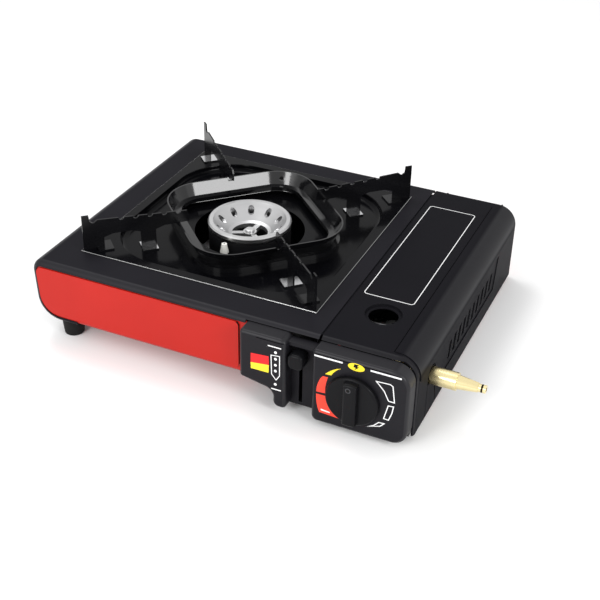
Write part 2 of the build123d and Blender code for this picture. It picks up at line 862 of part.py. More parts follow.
# Bracket that carries the burner on the pan floor
bracket_top = base_low
with BuildPart() as burner_bracket:
    with BuildSketch(burner_section):
        with BuildLine():
            Polyline(
                (-burner_bracket_half_length - burner_bracket_foot, pan_floor),
                (-burner_bracket_half_length, pan_floor),
                (-burner_bracket_half_length, bracket_top - bracket_sheet),
                (burner_bracket_half_length, bracket_top - bracket_sheet),
                (burner_bracket_half_length, pan_floor),
                (burner_bracket_half_length + burner_bracket_foot, pan_floor),
                (burner_bracket_half_length + burner_bracket_foot, pan_floor + bracket_sheet),
                (burner_bracket_half_length + bracket_sheet, pan_floor + bracket_sheet),
                (burner_bracket_half_length + bracket_sheet, bracket_top),
                (-burner_bracket_half_length - bracket_sheet, bracket_top),
                (-burner_bracket_half_length - bracket_sheet, pan_floor + bracket_sheet),
                (-burner_bracket_half_length - burner_bracket_foot, pan_floor + bracket_sheet),
                close=True,
            )
        make_face()
    extrude(amount=burner_bracket_width / 2, both=True)
    with Locations((burner_x, burner_y, bracket_top)):
        Cylinder(burner_screw_radius + slip_fit, 4 * bracket_sheet, mode=Mode.SUBTRACT)
finish(burner_bracket, "burner_bracket")

# Screw and nut that clamp head and base on the bracket
hub_top = burner_seat + burner_hub_height
nut_low = bracket_top - bracket_sheet - burner_nut_height
with BuildPart() as burner_screw:
    with BuildSketch(Plane.XY.offset(hub_top)):
        with Locations((burner_x, burner_y)):
            Circle(burner_screw_head)
    extrude(amount=burner_screw_head_height)
    fillet(burner_screw.faces().sort_by(Axis.Z)[-1].edges(), burner_screw_head_height / 2)
    with BuildSketch(Plane.XY.offset(hub_top)):
        with Locations((burner_x, burner_y)):
            Circle(burner_screw_radius)
    extrude(amount=nut_low - burner_screw_radius - hub_top)
finish(burner_screw, "burner_screw")
with BuildPart() as burner_nut:
    with BuildSketch(Plane.XY.offset(nut_low)):
        with Locations((burner_x, burner_y)):
            RegularPolygon(burner_nut_radius, 6)
            Circle(burner_screw_radius + slip_fit, mode=Mode.SUBTRACT)
    extrude(amount=burner_nut_height)
finish(burner_nut, "burner_nut")

# Mixing tube with its bell, air windows, shutter and jet
tube_start = chamber_outer + burner_skin
window_middle = bell_start + shutter_length / 2 + shutter_wall
with BuildPart() as mixing_tube:
    with BuildSketch(along_tube(tube_start)):
        Circle(tube_radius)
    extrude(amount=bell_start - tube_start)
    with BuildSketch(along_tube(bell_start)):
        Circle(bell_radius)
    extrude(amount=bell_length)
    with BuildSketch(along_tube(tube_start)):
        Circle(tube_radius - tube_wall)
    extrude(amount=bell_end - tube_start, mode=Mode.SUBTRACT)
    with BuildSketch(along_tube(bell_start + tube_wall)):
        Circle(boss_radius + slip_fit)
    extrude(amount=bell_length, mode=Mode.SUBTRACT)
    with BuildSketch(Plane(origin=along_tube(window_middle).origin, x_dir=jet_dir, z_dir=(0, 0, 1))):
        Rectangle(window_length, window_width)
    extrude(amount=2 * bell_radius, both=True, mode=Mode.SUBTRACT)
finish(mixing_tube, "mixing_tube")
with BuildPart() as air_shutter:
    with BuildSketch(along_tube(window_middle - shutter_length / 2)):
        Circle(bell_radius + slip_fit + shutter_wall)
        Circle(bell_radius + slip_fit, mode=Mode.SUBTRACT)
    extrude(amount=shutter_length)
    with BuildSketch(Plane(origin=along_tube(window_middle).origin, x_dir=jet_dir, z_dir=(0, 0, 1))):
        Rectangle(window_length - shutter_wall, window_width - shutter_wall)
    extrude(amount=2 * bell_radius, both=True, mode=Mode.SUBTRACT)
finish(air_shutter, "air_shutter")
with BuildPart() as injector_jet:
    with BuildSketch(along_tube(jet_distance)):
        RegularPolygon(jet_hex_radius, 6)
    extrude(amount=-jet_hex_length)
    with BuildSketch(along_tube(jet_distance - jet_hex_length)):
        Circle(jet_tip_radius)
    extrude(amount=-jet_tip_length)
    with BuildSketch(along_tube(jet_distance)):
        Circle(jet_tip_radius / 4)
    extrude(amount=-2 * jet_hex_length - jet_tip_length, mode=Mode.SUBTRACT)
finish(injector_jet, "injector_jet")

# Valve body with its outlet boss, regulator and bracket
valve_middle_y = (valve_block_front + valve_block_rear) / 2
with BuildPart() as valve_body:
    with BuildSketch(Plane.XZ.offset(-valve_block_rear)):
        with Locations((knob_x, knob_z)):
            Circle(valve_radius)
    extrude(amount=valve_block_rear - valve_front)
    slab(
        (valve_block_left, valve_block_right),
        (valve_block_front, valve_block_rear),
        (valve_block_low, valve_block_high),
    )
    with BuildSketch(along_tube(jet_distance)):
        Circle(boss_radius)
    extrude(amount=bell_length)
    with BuildSketch(Plane.XZ.offset(-valve_front)):
        with Locations((knob_x, knob_z)):
            Circle(spindle_radius + slip_fit)
    extrude(amount=-spindle_socket, mode=Mode.SUBTRACT)
    with BuildSketch(Plane.YZ.offset(valve_block_right)):
        with Locations((nozzle_y, nozzle_z)):
            Circle(nozzle_shank_radius + slip_fit)
    extrude(amount=-spindle_socket, mode=Mode.SUBTRACT)
finish(valve_body, "valve_body")
with BuildPart() as regulator:
    with BuildSketch(Plane.XZ.offset(-valve_block_rear)):
        with Locations((regulator_x, regulator_z)):
            Circle(regulator_radius)
    extrude(amount=-regulator_length)
    chamfer(regulator.faces().sort_by(Axis.Y)[-1].edges(), regulator_length / 7)
    with BuildSketch(Plane.XZ.offset(-valve_block_rear - regulator_length)):
        with Locations((regulator_x, regulator_z)):
            Circle(regulator_socket_radius)
    extrude(amount=regulator_socket_depth, mode=Mode.SUBTRACT)
finish(regulator, "regulator")
bracket_left = knob_x - valve_bracket_width / 2
bracket_right = knob_x + valve_bracket_width / 2
with BuildPart() as valve_bracket:
    slab(
        (bracket_left, bracket_right),
        (valve_middle_y - valve_bracket_depth / 2, valve_middle_y + valve_bracket_depth / 2),
        (trough_floor, valve_block_low),
    )
    cutter(
        (bracket_left + bracket_sheet, bracket_right - bracket_sheet),
        (-far, far),
        (trough_floor + bracket_sheet, valve_block_low - bracket_sheet),
    )
finish(valve_bracket, "valve_bracket")

# Hose tail and its lock nut, at the right side
nozzle_start = valve_block_right - spindle_socket
tail_tip_start = nozzle_body_end + tail_taper_length
tail_end = tail_tip_start + tail_tip_length
with BuildPart() as hose_nozzle:
    with BuildSketch(Plane(origin=(0, nozzle_y, nozzle_z), x_dir=(1, 0, 0), z_dir=(0, -1, 0))):
        with BuildLine():
            Polyline(
                (nozzle_start, gas_bore_radius),
                (nozzle_start, nozzle_shank_radius),
                (nozzle_body_start, nozzle_shank_radius),
                (nozzle_body_start, nozzle_body_radius),
                (nozzle_body_end, nozzle_body_radius),
                (nozzle_body_end, tail_root_radius),
                (tail_tip_start, tail_tip_radius + tail_shoulder),
                (tail_tip_start, tail_tip_radius),
                (tail_end, tail_tip_radius),
                (tail_end, gas_bore_radius),
                close=True,
            )
        make_face()
    revolve(axis=Axis((0, nozzle_y, nozzle_z), (1, 0, 0)))
finish(hose_nozzle, "hose_nozzle")
with BuildPart() as nozzle_nut:
    nut_origin = (valve_block_right, nozzle_y, nozzle_z)
    with BuildSketch(Plane(origin=nut_origin, x_dir=(0, 1, 0), z_dir=(1, 0, 0))):
        RegularPolygon(nut_flats / 2, 6, major_radius=False)
        Circle(nozzle_shank_radius + slip_fit, mode=Mode.SUBTRACT)
    extrude(amount=nut_height)
finish(nozzle_nut, "nozzle_nut")

# Control panel: two hollow blocks with the lever's channel between them
panel_shape_right = (
    (channel_right, panel_low),
    (panel_right, panel_low),
    (panel_right, panel_top),
    (channel_right, panel_top),
)
panel_radii_right = (panel_corner_small, panel_corner_low, panel_corner_top, panel_edge)
panel_shape_left = (
    (panel_left, panel_top),
    (panel_left, left_block_low),
    (channel_left - left_leg_width, left_leg_low + left_leg_height),
    (channel_left - left_leg_width, left_leg_low),
    (channel_left, left_leg_low),
    (channel_left, panel_top),
)
panel_radii_left = (
    panel_edge,
    panel_edge,
    left_swoop_radius,
    panel_corner_small,
    panel_edge,
    panel_corner_small,
)


def panel_block(points, radii, drawn_in):
    """One block of the panel with a rounded front edge, drawn in by a wall."""
    with BuildPart() as block:
        with BuildSketch(Plane.XZ.offset(-panel_back)):
            with BuildLine():
                FilletPolyline(*points, radius=radii, close=True)
            make_face()
            if drawn_in:
                offset(amount=-drawn_in, mode=Mode.REPLACE)
        extrude(amount=panel_back - panel_face - drawn_in)
        fillet(block.faces().sort_by(Axis.Y)[0].edges(), panel_edge - drawn_in)
    return block.part


channel_top = panel_top - channel_top_drop
channel_face = panel_back - channel_floor
with BuildPart() as control_panel:
    add(panel_block(panel_shape_right, panel_radii_right, 0))
    add(panel_block(panel_shape_left, panel_radii_left, 0))
    add(panel_block(panel_shape_right, panel_radii_right, panel_wall), mode=Mode.SUBTRACT)
    add(panel_block(panel_shape_left, panel_radii_left, panel_wall), mode=Mode.SUBTRACT)
    slab(
        (channel_left - panel_wall, channel_right + panel_wall),
        (channel_face, panel_back),
        (left_leg_low, panel_top - panel_edge),
    )
    slab(
        (channel_left - panel_wall, channel_right + panel_wall),
        (channel_face - panel_depth / 2, panel_back),
        (channel_top, panel_top - panel_edge),
    )
    # Groove under the brim
    cutter(
        (panel_left + panel_corner_top, panel_right - panel_corner_top),
        (-far, panel_face + brim_depth),
        (panel_top - brim_drop, panel_top - brim_drop + brim_groove),
    )
    with BuildSketch(Plane.XZ.offset(-panel_back)):
        with Locations(*panel_screw_spots):
            Circle(panel_post_radius)
    extrude(amount=panel_back - panel_face - panel_wall)
    with BuildSketch(Plane.XZ.offset(-panel_back)):
        with Locations(*panel_screw_spots):
            Circle(panel_screw_radius + slip_fit)
    extrude(amount=panel_screw_length, mode=Mode.SUBTRACT)
    with BuildSketch(Plane.XZ.offset(-panel_back)):
        with Locations((knob_x, knob_z)):
            Circle(spindle_radius + panel_hole_gap)
        with Locations((lever_x, (slot_low + slot_high) / 2)):
            Rectangle(slot_width, slot_high - slot_low)
    extrude(amount=2 * panel_depth, mode=Mode.SUBTRACT)
finish(control_panel, "control_panel")

# Screws that hold the panel, driven from inside the pan
screw_seat = pan_front + pan_sheet
with BuildPart() as panel_screws:
    with BuildSketch(Plane.XZ.offset(-screw_seat)):
        with Locations(*panel_screw_spots):
            Circle(panel_screw_radius)
    extrude(amount=panel_screw_length)
    with BuildSketch(Plane.XZ.offset(-screw_seat)):
        with Locations(*panel_screw_spots):
            Circle(2 * panel_screw_radius)
    extrude(amount=-panel_screw_radius)
finish(panel_screws, "panel_screws")

# Knob and valve spindle, turning together
knob_back = panel_face - knob_gap
spindle_end = knob_back - knob_height / 2
with BuildPart() as control_knob:
    with BuildSketch(Plane.XZ.offset(-knob_back)):
        with Locations((knob_x, knob_z)):
            Circle(knob_radius)
    extrude(amount=knob_skirt)
    fillet(control_knob.faces().sort_by(Axis.Y)[0].edges(), knob_skirt / 2)
    with BuildSketch(Plane.XZ.offset(-knob_back)):
        with Locations((knob_x, knob_z)):
            Rectangle(knob_grip_width, 2 * knob_radius)
            Circle(knob_radius - knob_skirt / 2, mode=Mode.INTERSECT)
    extrude(amount=knob_height)
    fillet(control_knob.faces().sort_by(Axis.Y)[0].edges(), knob_grip_fillet)
    with BuildSketch(Plane.XZ.offset(-knob_back)):
        with Locations((knob_x, knob_z)):
            Circle(spindle_radius + slip_fit)
            with Locations((0, spindle_flat + slip_fit - spindle_radius)):
                Rectangle(4 * spindle_radius, 2 * spindle_radius, mode=Mode.INTERSECT)
    extrude(amount=knob_height / 2 + slip_fit, mode=Mode.SUBTRACT)
finish(control_knob, "control_knob")
with BuildPart() as valve_spindle:
    with BuildSketch(Plane.XZ.offset(-valve_front - spindle_socket + slip_fit)):
        with Locations((knob_x, knob_z)):
            Circle(spindle_radius)
    extrude(amount=valve_front + spindle_socket - slip_fit - spindle_end)
    cutter((-far, far), (-far, knob_back + knob_gap / 2), (knob_z + spindle_flat, far))
finish(valve_spindle, "valve_spindle")

# Locking lever: sheet arm on a pivot pin, with a plastic knob in the channel
lever_low_x = lever_x - lever_sheet / 2
lever_knob_back = lever_knob_y + lever_knob_depth / 2
lever_plane = Plane(
    origin=(lever_low_x, lever_pivot_y, lever_pivot_z),
    x_dir=(0, -cos(radians(lever_angle)), sin(radians(lever_angle))),
    z_dir=(1, 0, 0),
)
upright_lever = Plane(origin=(lever_low_x, 0, 0), x_dir=(0, 1, 0), z_dir=(1, 0, 0))
finger_lift = hypot(lever_finger_y - lever_pivot_y, lever_finger_z - lever_pivot_z)
finger_angle = degrees(atan2(lever_finger_z - lever_pivot_z, lever_finger_y - lever_pivot_y))
with BuildPart() as lock_lever:
    with BuildSketch(lever_plane):
        Circle(lever_boss_radius)
        with Locations((lever_reach / 2, 0)):
            Rectangle(lever_reach, 2 * lever_half_width)
    extrude(amount=lever_sheet)
    cutter((-far, far), (-far, lever_knob_back), (-far, far))
    with BuildSketch(upright_lever):
        with Locations((lever_finger_y, lever_finger_z)):
            Circle(lever_finger_radius)
        with Locations(Location((lever_pivot_y, lever_pivot_z, 0), (0, 0, finger_angle))):
            with Locations((finger_lift / 2, 0)):
                Rectangle(finger_lift, 2 * lever_finger_radius)
        with Locations((lever_knob_back - lever_tongue_length / 2 + lever_half_width / 2, lever_knob_z)):
            Rectangle(lever_tongue_length + lever_half_width, lever_tongue_height)
    extrude(amount=lever_sheet)
    with BuildSketch(upright_lever):
        with Locations((lever_pivot_y, lever_pivot_z)):
            Circle(pivot_pin_radius + pin_fit)
    extrude(amount=lever_sheet, mode=Mode.SUBTRACT)
finish(lock_lever, "lock_lever")
with BuildPart() as lever_knob:
    with Locations((lever_x, lever_knob_y, lever_knob_z)):
        Box(lever_knob_width, lever_knob_depth, lever_knob_height)
    fillet(lever_knob.edges().filter_by(Axis.Y), lever_knob_corner)
    fillet(lever_knob.faces().sort_by(Axis.Y)[0].edges(), lever_knob_fillet)
    tongue_half = lever_tongue_height / 2 + slip_fit
    cutter(
        (lever_low_x - slip_fit, lever_low_x + lever_sheet + slip_fit),
        (lever_knob_back - lever_tongue_length - slip_fit, far),
        (lever_knob_z - tongue_half, lever_knob_z + tongue_half),
    )
finish(lever_knob, "lever_knob")

# Bracket and pin that carry the lever
plate_near = lever_x + lever_sheet / 2 + pivot_plate_gap
plate_far = plate_near + pivot_plate
upright_pivot = Plane(origin=(lever_x, 0, 0), x_dir=(0, 1, 0), z_dir=(1, 0, 0))
with BuildPart() as lever_bracket:
    with BuildSketch(upright_pivot):
        with Locations((lever_pivot_y, lever_pivot_z)):
            Circle(pivot_ear_radius)
        with Locations((lever_pivot_y, (trough_floor + lever_pivot_z) / 2)):
            Rectangle(2 * pivot_ear_radius, lever_pivot_z - trough_floor)
    extrude(amount=plate_far - lever_x, both=True)
    cutter((2 * lever_x - plate_near, plate_near), (-far, far), (trough_floor + pivot_plate, far))
    with BuildSketch(upright_pivot):
        with Locations((lever_pivot_y, lever_pivot_z)):
            Circle(pivot_pin_radius + pin_fit)
    extrude(amount=2 * (plate_far - lever_x), both=True, mode=Mode.SUBTRACT)
finish(lever_bracket, "lever_bracket")
with BuildPart() as lever_pin:
    with BuildSketch(upright_pivot):
        with Locations((lever_pivot_y, lever_pivot_z)):
            Circle(pivot_pin_radius)
    extrude(amount=plate_far - lever_x + pivot_head_height, both=True)
    for side in (1, -1):
        with BuildSketch(upright_pivot.offset(side * (plate_far - lever_x))):
            with Locations((lever_pivot_y, lever_pivot_z)):
                Circle(pivot_head_radius)
        extrude(amount=side * pivot_head_height)
finish(lever_pin, "lever_pin")

# Cartridge fork: slides to and fro on the trough floor, pushed by the lever's finger
fork_start_x = lever_x + lever_sheet / 2 + fork_gap
fork_low = trough_floor + fork_lift
arm_front = lever_finger_y - fork_arm_width / 2
arm_rear = lever_finger_y + fork_arm_width / 2
fork_arm_middle_x = (fork_elbow_x - fork_arm_width + regulator_x) / 2
with BuildPart() as cartridge_fork:
    slab((fork_start_x, fork_elbow_x), (arm_front, arm_rear), (fork_arm_low, fork_arm_high))
    slab((fork_elbow_x - fork_arm_width, fork_elbow_x), (arm_front, fork_y), (fork_arm_low, fork_arm_high))
    with BuildSketch(Plane.XZ.offset(-fork_y)):
        with Locations((regulator_x, (fork_low + fork_height) / 2)):
            Rectangle(2 * fork_half_width, fork_height - fork_low)
        with Locations((fork_arm_middle_x, (fork_arm_low + fork_arm_high) / 2)):
            Rectangle(regulator_x - fork_elbow_x + fork_arm_width, fork_arm_high - fork_arm_low)
        with Locations((regulator_x, regulator_z)):
            Circle(fork_throat_radius, mode=Mode.SUBTRACT)
        with Locations((regulator_x, (regulator_z + fork_height) / 2)):
            Rectangle(2 * fork_throat_radius, fork_height - regulator_z, mode=Mode.SUBTRACT)
    extrude(amount=-fork_sheet)
    slab(
        (regulator_x - fork_half_width, regulator_x + fork_half_width),
        (fork_y, fork_y + fork_shoe_length),
        (fork_low, fork_low + fork_sheet),
    )
finish(cartridge_fork, "cartridge_fork")

# Heat shield between the burner and the cartridge bay
shield_top = lid_under - shield_flange_drop
shield_front = front + edge_roll + shield_end_gap
shield_rear = rear - edge_roll - shield_end_gap
shield_right = shield_x + shield_sheet
hole_along = (shield_x + shield_sheet / 2 - burner_x) / jet_dir.X
shutter_radius = bell_radius + slip_fit + shutter_wall
with BuildPart() as heat_shield:
    slab((shield_x, shield_right), (shield_front, shield_rear), (trough_floor, shield_top))
    slab(
        (shield_x - shield_foot, shield_x),
        (shield_front, shield_rear),
        (trough_floor, trough_floor + shield_sheet),
    )
    slab(
        (shield_right, shield_right + shield_flange),
        (shield_front, shield_flange_rear),
        (shield_top - shield_sheet, shield_top),
    )
    with BuildSketch(along_tube(hole_along)):
        Circle(shutter_radius + shield_hole_gap)
    extrude(amount=2 * shutter_radius, both=True, mode=Mode.SUBTRACT)
    cutter(
        (shield_x - shield_sheet, shield_right + shield_sheet),
        (arm_front - fork_travel - shield_hole_gap, arm_rear + shield_hole_gap),
        (fork_arm_low - shield_hole_gap, fork_arm_high + shield_hole_gap),
    )
    with BuildSketch(Plane.YZ.offset(shield_x - shield_sheet)):
        with Locations((lead_gate_y, lead_gate_z)):
            Circle(2 * lead_radius + shield_hole_gap)
    extrude(amount=4 * shield_sheet, mode=Mode.SUBTRACT)
finish(heat_shield, "heat_shield")

# Spark igniter on the valve, its lead and the electrode beside the burner
with BuildPart() as piezo_igniter:
    slab(
        (piezo_left, piezo_left + piezo_width),
        (piezo_middle_y - piezo_length / 2, piezo_middle_y + piezo_length / 2),
        (piezo_low, piezo_low + piezo_height),
    )
    fillet(piezo_igniter.edges().filter_by(Axis.Z), piezo_height / 4)
finish(piezo_igniter, "piezo_igniter")
with BuildPart() as igniter_lead:
    with BuildLine() as lead_path:
        FilletPolyline(*lead_points, radius=lead_bends)
    with BuildSketch(Plane(origin=lead_path.line @ 0, z_dir=lead_path.line % 0)):
        Circle(lead_radius)
    sweep()
finish(igniter_lead, "igniter_lead")
electrode_foot = Plane(origin=(burner_x, burner_y, base_low), z_dir=(0, 0, 1))
electrode_arm = electrode_foot.rotated((0, 0, electrode_angle))
electrode_bracket_end = electrode_radius + electrode_bracket_width / 2
with BuildPart() as electrode_bracket:
    with BuildSketch(electrode_arm):
        with Locations(((electrode_bracket_start + electrode_bracket_end) / 2, 0)):
            Rectangle(electrode_bracket_end - electrode_bracket_start, electrode_bracket_width)
        with Locations((electrode_radius, 0)):
            Circle(ceramic_radius + slip_fit, mode=Mode.SUBTRACT)
    extrude(amount=-bracket_sheet)
finish(electrode_bracket, "electrode_bracket")
with BuildPart() as electrode_ceramic:
    with BuildSketch(Plane.XY.offset(ceramic_low)):
        with Locations((electrode_x, electrode_y)):
            Circle(ceramic_radius)
    extrude(amount=ceramic_top - ceramic_flare_height - ceramic_low)
    with Locations((electrode_x, electrode_y, ceramic_top - ceramic_flare_height / 2)):
        Cone(ceramic_flare_radius, ceramic_tip_radius, ceramic_flare_height)
    with BuildSketch(Plane.XY.offset(base_low)):
        with Locations((electrode_x, electrode_y)):
            Circle(ceramic_collar_radius)
    extrude(amount=ceramic_collar_height)
    with BuildSketch(Plane.XY.offset(ceramic_low + lead_radius)):
        with Locations((electrode_x, electrode_y)):
            Circle(pin_radius + slip_fit)
    extrude(amount=ceramic_top, mode=Mode.SUBTRACT)
finish(electrode_ceramic, "electrode_ceramic")
with BuildPart() as electrode_pin:
    with BuildSketch(Plane.XY.offset(ceramic_low + lead_radius)):
        with Locations((electrode_x, electrode_y)):
            Circle(pin_radius)
    extrude(amount=pin_top - ceramic_low - lead_radius)
finish(electrode_pin, "electrode_pin")

# Cartridge lid: top, rounded shoulder and right side, with hinge ears at the rear
vent_lean = vent_slant / (vent_high - vent_low)
vent_last_y = vent_first_y + (vent_count - 1) * vent_pitch
field_front = vent_first_y - vent_panel_front
field_rear = vent_last_y + vent_width + vent_panel_rear
field_rise = deck_top - shoulder_drop - vent_panel_low


def vent_field(inner_x):
    """Slanted field round the vents, one pressing deep."""
    with BuildPart() as field:
        with BuildSketch(Plane.YZ.offset(inner_x)):
            with BuildLine():
                Polyline(
                    (field_front, vent_panel_low),
                    (field_rear, vent_panel_low),
                    (field_rear + field_rise * vent_lean, vent_panel_low + field_rise),
                    (field_front + field_rise * vent_lean, vent_panel_low + field_rise),
                    close=True,
                )
            make_face()
        extrude(amount=vent_panel_depth)
    return field.part


ear_spots = (
    lid_left + hinge_inset + hinge_plate + hinge_gap,
    trough_right - pan_sheet - hinge_inset - 2 * hinge_plate - hinge_gap,
)
bracket_spots = (lid_left + hinge_inset, trough_right - pan_sheet - hinge_inset - hinge_plate)
notch_half = nozzle_body_radius + notch_clear
with BuildPart() as cartridge_lid:
    add(lid_block(0, lid_left))
    add(lid_block(cover_sheet, lid_left - cover_sheet, cover_sheet), mode=Mode.SUBTRACT)
    # Raised shoulder between the front and rear bands
    with BuildSketch(Plane.XZ.offset(shoulder_rear_band - rear)):
        with BuildLine():
            FilletPolyline(
                (shoulder_crease, deck_top + shoulder_raise),
                (right + shoulder_raise, deck_top + shoulder_raise),
                (right + shoulder_raise, deck_top - shoulder_drop),
                (right - cover_sheet, deck_top - shoulder_drop),
                (right - cover_sheet, deck_top - cover_sheet),
                (shoulder_crease, deck_top - cover_sheet),
                radius=(0, lid_shoulder + shoulder_raise, 0, 0, lid_shoulder - cover_sheet, 0),
                close=True,
            )
        make_face()
    extrude(amount=body_depth - shoulder_rear_band - shoulder_front_band)
    cutter(
        (shoulder_crease - crease_width, shoulder_crease),
        (front + shoulder_front_band, rear - shoulder_rear_band),
        (deck_top - crease_depth, far),
    )
    # Open front and rear, so that the lid clears the panel and the pan
    lid_front = pan_front + pan_sheet + lid_front_gap
    cutter((-far, far), (-far, lid_front), (-far, panel_top + panel_top_gap))
    cutter((-far, far), (-lid_front, far), (-far, hinge_z))
    # Finger hole in a shallow dish
    with Locations((finger_hole_x, finger_hole_y, deck_top)):
        Cylinder(finger_hole_radius, 4 * cover_sheet, mode=Mode.SUBTRACT)
    with BuildSketch(Plane.XY.offset(deck_top)):
        with Locations((finger_hole_x, finger_hole_y)):
            Circle(finger_dish_radius)
    extrude(amount=-finger_dish_depth)
    with BuildSketch(Plane.XY.offset(deck_top)):
        with Locations((finger_hole_x, finger_hole_y)):
            Circle(finger_dish_radius - cover_sheet)
    extrude(amount=cover_sheet - finger_dish_depth, mode=Mode.SUBTRACT)
    with Locations((finger_hole_x, finger_hole_y, deck_top)):
        Cylinder(finger_hole_radius, 4 * finger_dish_depth, mode=Mode.SUBTRACT)
    # Notch for the hose tail, open downwards and wider below for the lid's swing
    with BuildSketch(Plane.YZ.offset(right - 2 * cover_sheet)):
        with Locations((nozzle_y, nozzle_z)):
            Circle(notch_half)
        with BuildLine():
            Polyline(
                (nozzle_y - notch_half, nozzle_z),
                (nozzle_y - notch_half, -trough_height),
                (nozzle_y + notch_half + notch_slant, -trough_height),
                (nozzle_y + notch_half, nozzle_z),
                close=True,
            )
        make_face()
    extrude(amount=4 * cover_sheet, mode=Mode.SUBTRACT)
    # Slanted vents in a sunk field
    add(vent_field(right - cover_sheet - vent_panel_depth))
    add(vent_field(right - vent_panel_depth), mode=Mode.SUBTRACT)
    with BuildSketch(Plane.YZ.offset(right - 2 * cover_sheet)):
        for vent in range(vent_count):
            low_y = vent_first_y + vent * vent_pitch
            with BuildLine():
                Polyline(
                    (low_y, vent_low),
                    (low_y + vent_width, vent_low),
                    (low_y + vent_width + vent_slant, vent_high),
                    (low_y + vent_slant, vent_high),
                    close=True,
                )
            make_face()
    extrude(amount=4 * cover_sheet, mode=Mode.SUBTRACT)
    for spot in ear_spots:
        with BuildSketch(Plane.YZ.offset(spot)):
            with Locations((hinge_y, hinge_z)):
                Circle(hinge_ear_radius)
            with Locations((hinge_y, (hinge_z + lid_under) / 2)):
                Rectangle(2 * hinge_ear_radius, lid_under - hinge_z)
            with Locations((hinge_y, hinge_z)):
                Circle(hinge_pin_radius + pin_fit, mode=Mode.SUBTRACT)
        extrude(amount=hinge_plate)
finish(cartridge_lid, "cartridge_lid")

# Plate on the trough's side that closes the notch below the hose tail
plate_front = nozzle_y - notch_half + tail_plate_front_gap
plate_rear = nozzle_y + notch_half - tail_plate_rear_gap
with BuildPart() as tail_plate:
    with BuildSketch(Plane.YZ.offset(right - cover_sheet)):
        with BuildLine():
            Polyline(
                (plate_front, trough_height),
                (plate_rear + notch_slant, trough_height),
                (plate_rear, tail_plate_high),
                (plate_front, tail_plate_high),
                close=True,
            )
        make_face()
        with Locations((nozzle_y, nozzle_z)):
            Circle(nozzle_body_radius + tail_plate_gap, mode=Mode.SUBTRACT)
    extrude(amount=cover_sheet)
    slab(
        (trough_right, right - cover_sheet),
        (nozzle_y - tail_block_half, nozzle_y + tail_block_half),
        (tail_block_low, tail_block_high),
    )
finish(tail_plate, "tail_plate")

# Hinge brackets on the rear wall, and their pins
bracket_front = hinge_y - hinge_stem
bracket_neck = hinge_y - hinge_ear_radius
bracket_low = hinge_z - hinge_stem - hinge_foot_height
with BuildPart() as hinge_brackets:
    for spot in bracket_spots:
        with BuildSketch(Plane.YZ.offset(spot)):
            with BuildLine():
                Polyline(
                    (bracket_front, hinge_z + hinge_ear_radius),
                    (bracket_front, bracket_low),
                    (pan_rear - pan_sheet, bracket_low),
                    (pan_rear - pan_sheet, hinge_z - hinge_stem),
                    (bracket_neck, hinge_z - hinge_stem),
                    (bracket_neck, hinge_z - hinge_ear_radius + pin_fit),
                    (hinge_y, hinge_z - hinge_ear_radius + pin_fit),
                    (hinge_y, hinge_z + hinge_ear_radius),
                    close=True,
                )
            make_face()
            with Locations((hinge_y, hinge_z)):
                Circle(hinge_ear_radius)
                Circle(hinge_pin_radius + pin_fit, mode=Mode.SUBTRACT)
        extrude(amount=hinge_plate)
finish(hinge_brackets, "hinge_brackets")
with BuildPart() as hinge_pins:
    for ear, bracket in zip(ear_spots, bracket_spots):
        low = min(ear, bracket) - hinge_plate
        high = max(ear, bracket) + 2 * hinge_plate
        with BuildSketch(Plane.YZ.offset(low)):
            with Locations((hinge_y, hinge_z)):
                Circle(hinge_pin_radius)
        extrude(amount=high - low)
finish(hinge_pins, "hinge_pins")


# Rubber feet and their screws: tall ones under the left side, low ones under the trough
def foot_solid(x, y, height):
    """One tapered foot with a recess and a hole for its screw."""
    with BuildPart() as foot:
        with Locations((x, y, 0)):
            Cone(
                foot_radius - foot_taper,
                foot_radius,
                height,
                align=(Align.CENTER, Align.CENTER, Align.MIN),
            )
        fillet(foot.faces().sort_by(Axis.Z)[0].edges(), foot_taper)
        with Locations((x, y, 0)):
            Cylinder(foot_recess_radius, 2 * height * foot_recess_share, mode=Mode.SUBTRACT)
            Cylinder(foot_screw_radius + slip_fit, 4 * height, mode=Mode.SUBTRACT)
    return foot.part


with BuildPart() as feet_left:
    for y in (-foot_y, foot_y):
        add(foot_solid(foot_x_left, y, floor_height))
finish(feet_left, "feet_left")
with BuildPart() as feet_right:
    for y in (-foot_y, foot_y):
        add(foot_solid(foot_x_right, y, trough_height))
finish(feet_right, "feet_right")
with BuildPart() as foot_screws:
    for x, height, seat in (
        (foot_x_left, floor_height, pan_floor),
        (foot_x_right, trough_height, trough_floor),
    ):
        for y in (-foot_y, foot_y):
            head_top = height * foot_recess_share
            with BuildSketch(Plane.XY.offset(head_top)):
                with Locations((x, y)):
                    Circle(foot_screw_head)
            extrude(amount=-foot_screw_head_height)
            with BuildSketch(Plane.XY.offset(head_top)):
                with Locations((x, y)):
                    Circle(foot_screw_radius)
            extrude(amount=seat + 2 * foot_screw_radius - head_top)
finish(foot_screws, "foot_screws")
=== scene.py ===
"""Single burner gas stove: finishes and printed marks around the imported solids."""

import json
from math import cos, pi, radians, sin

import bpy
from mathutils import Matrix, Vector


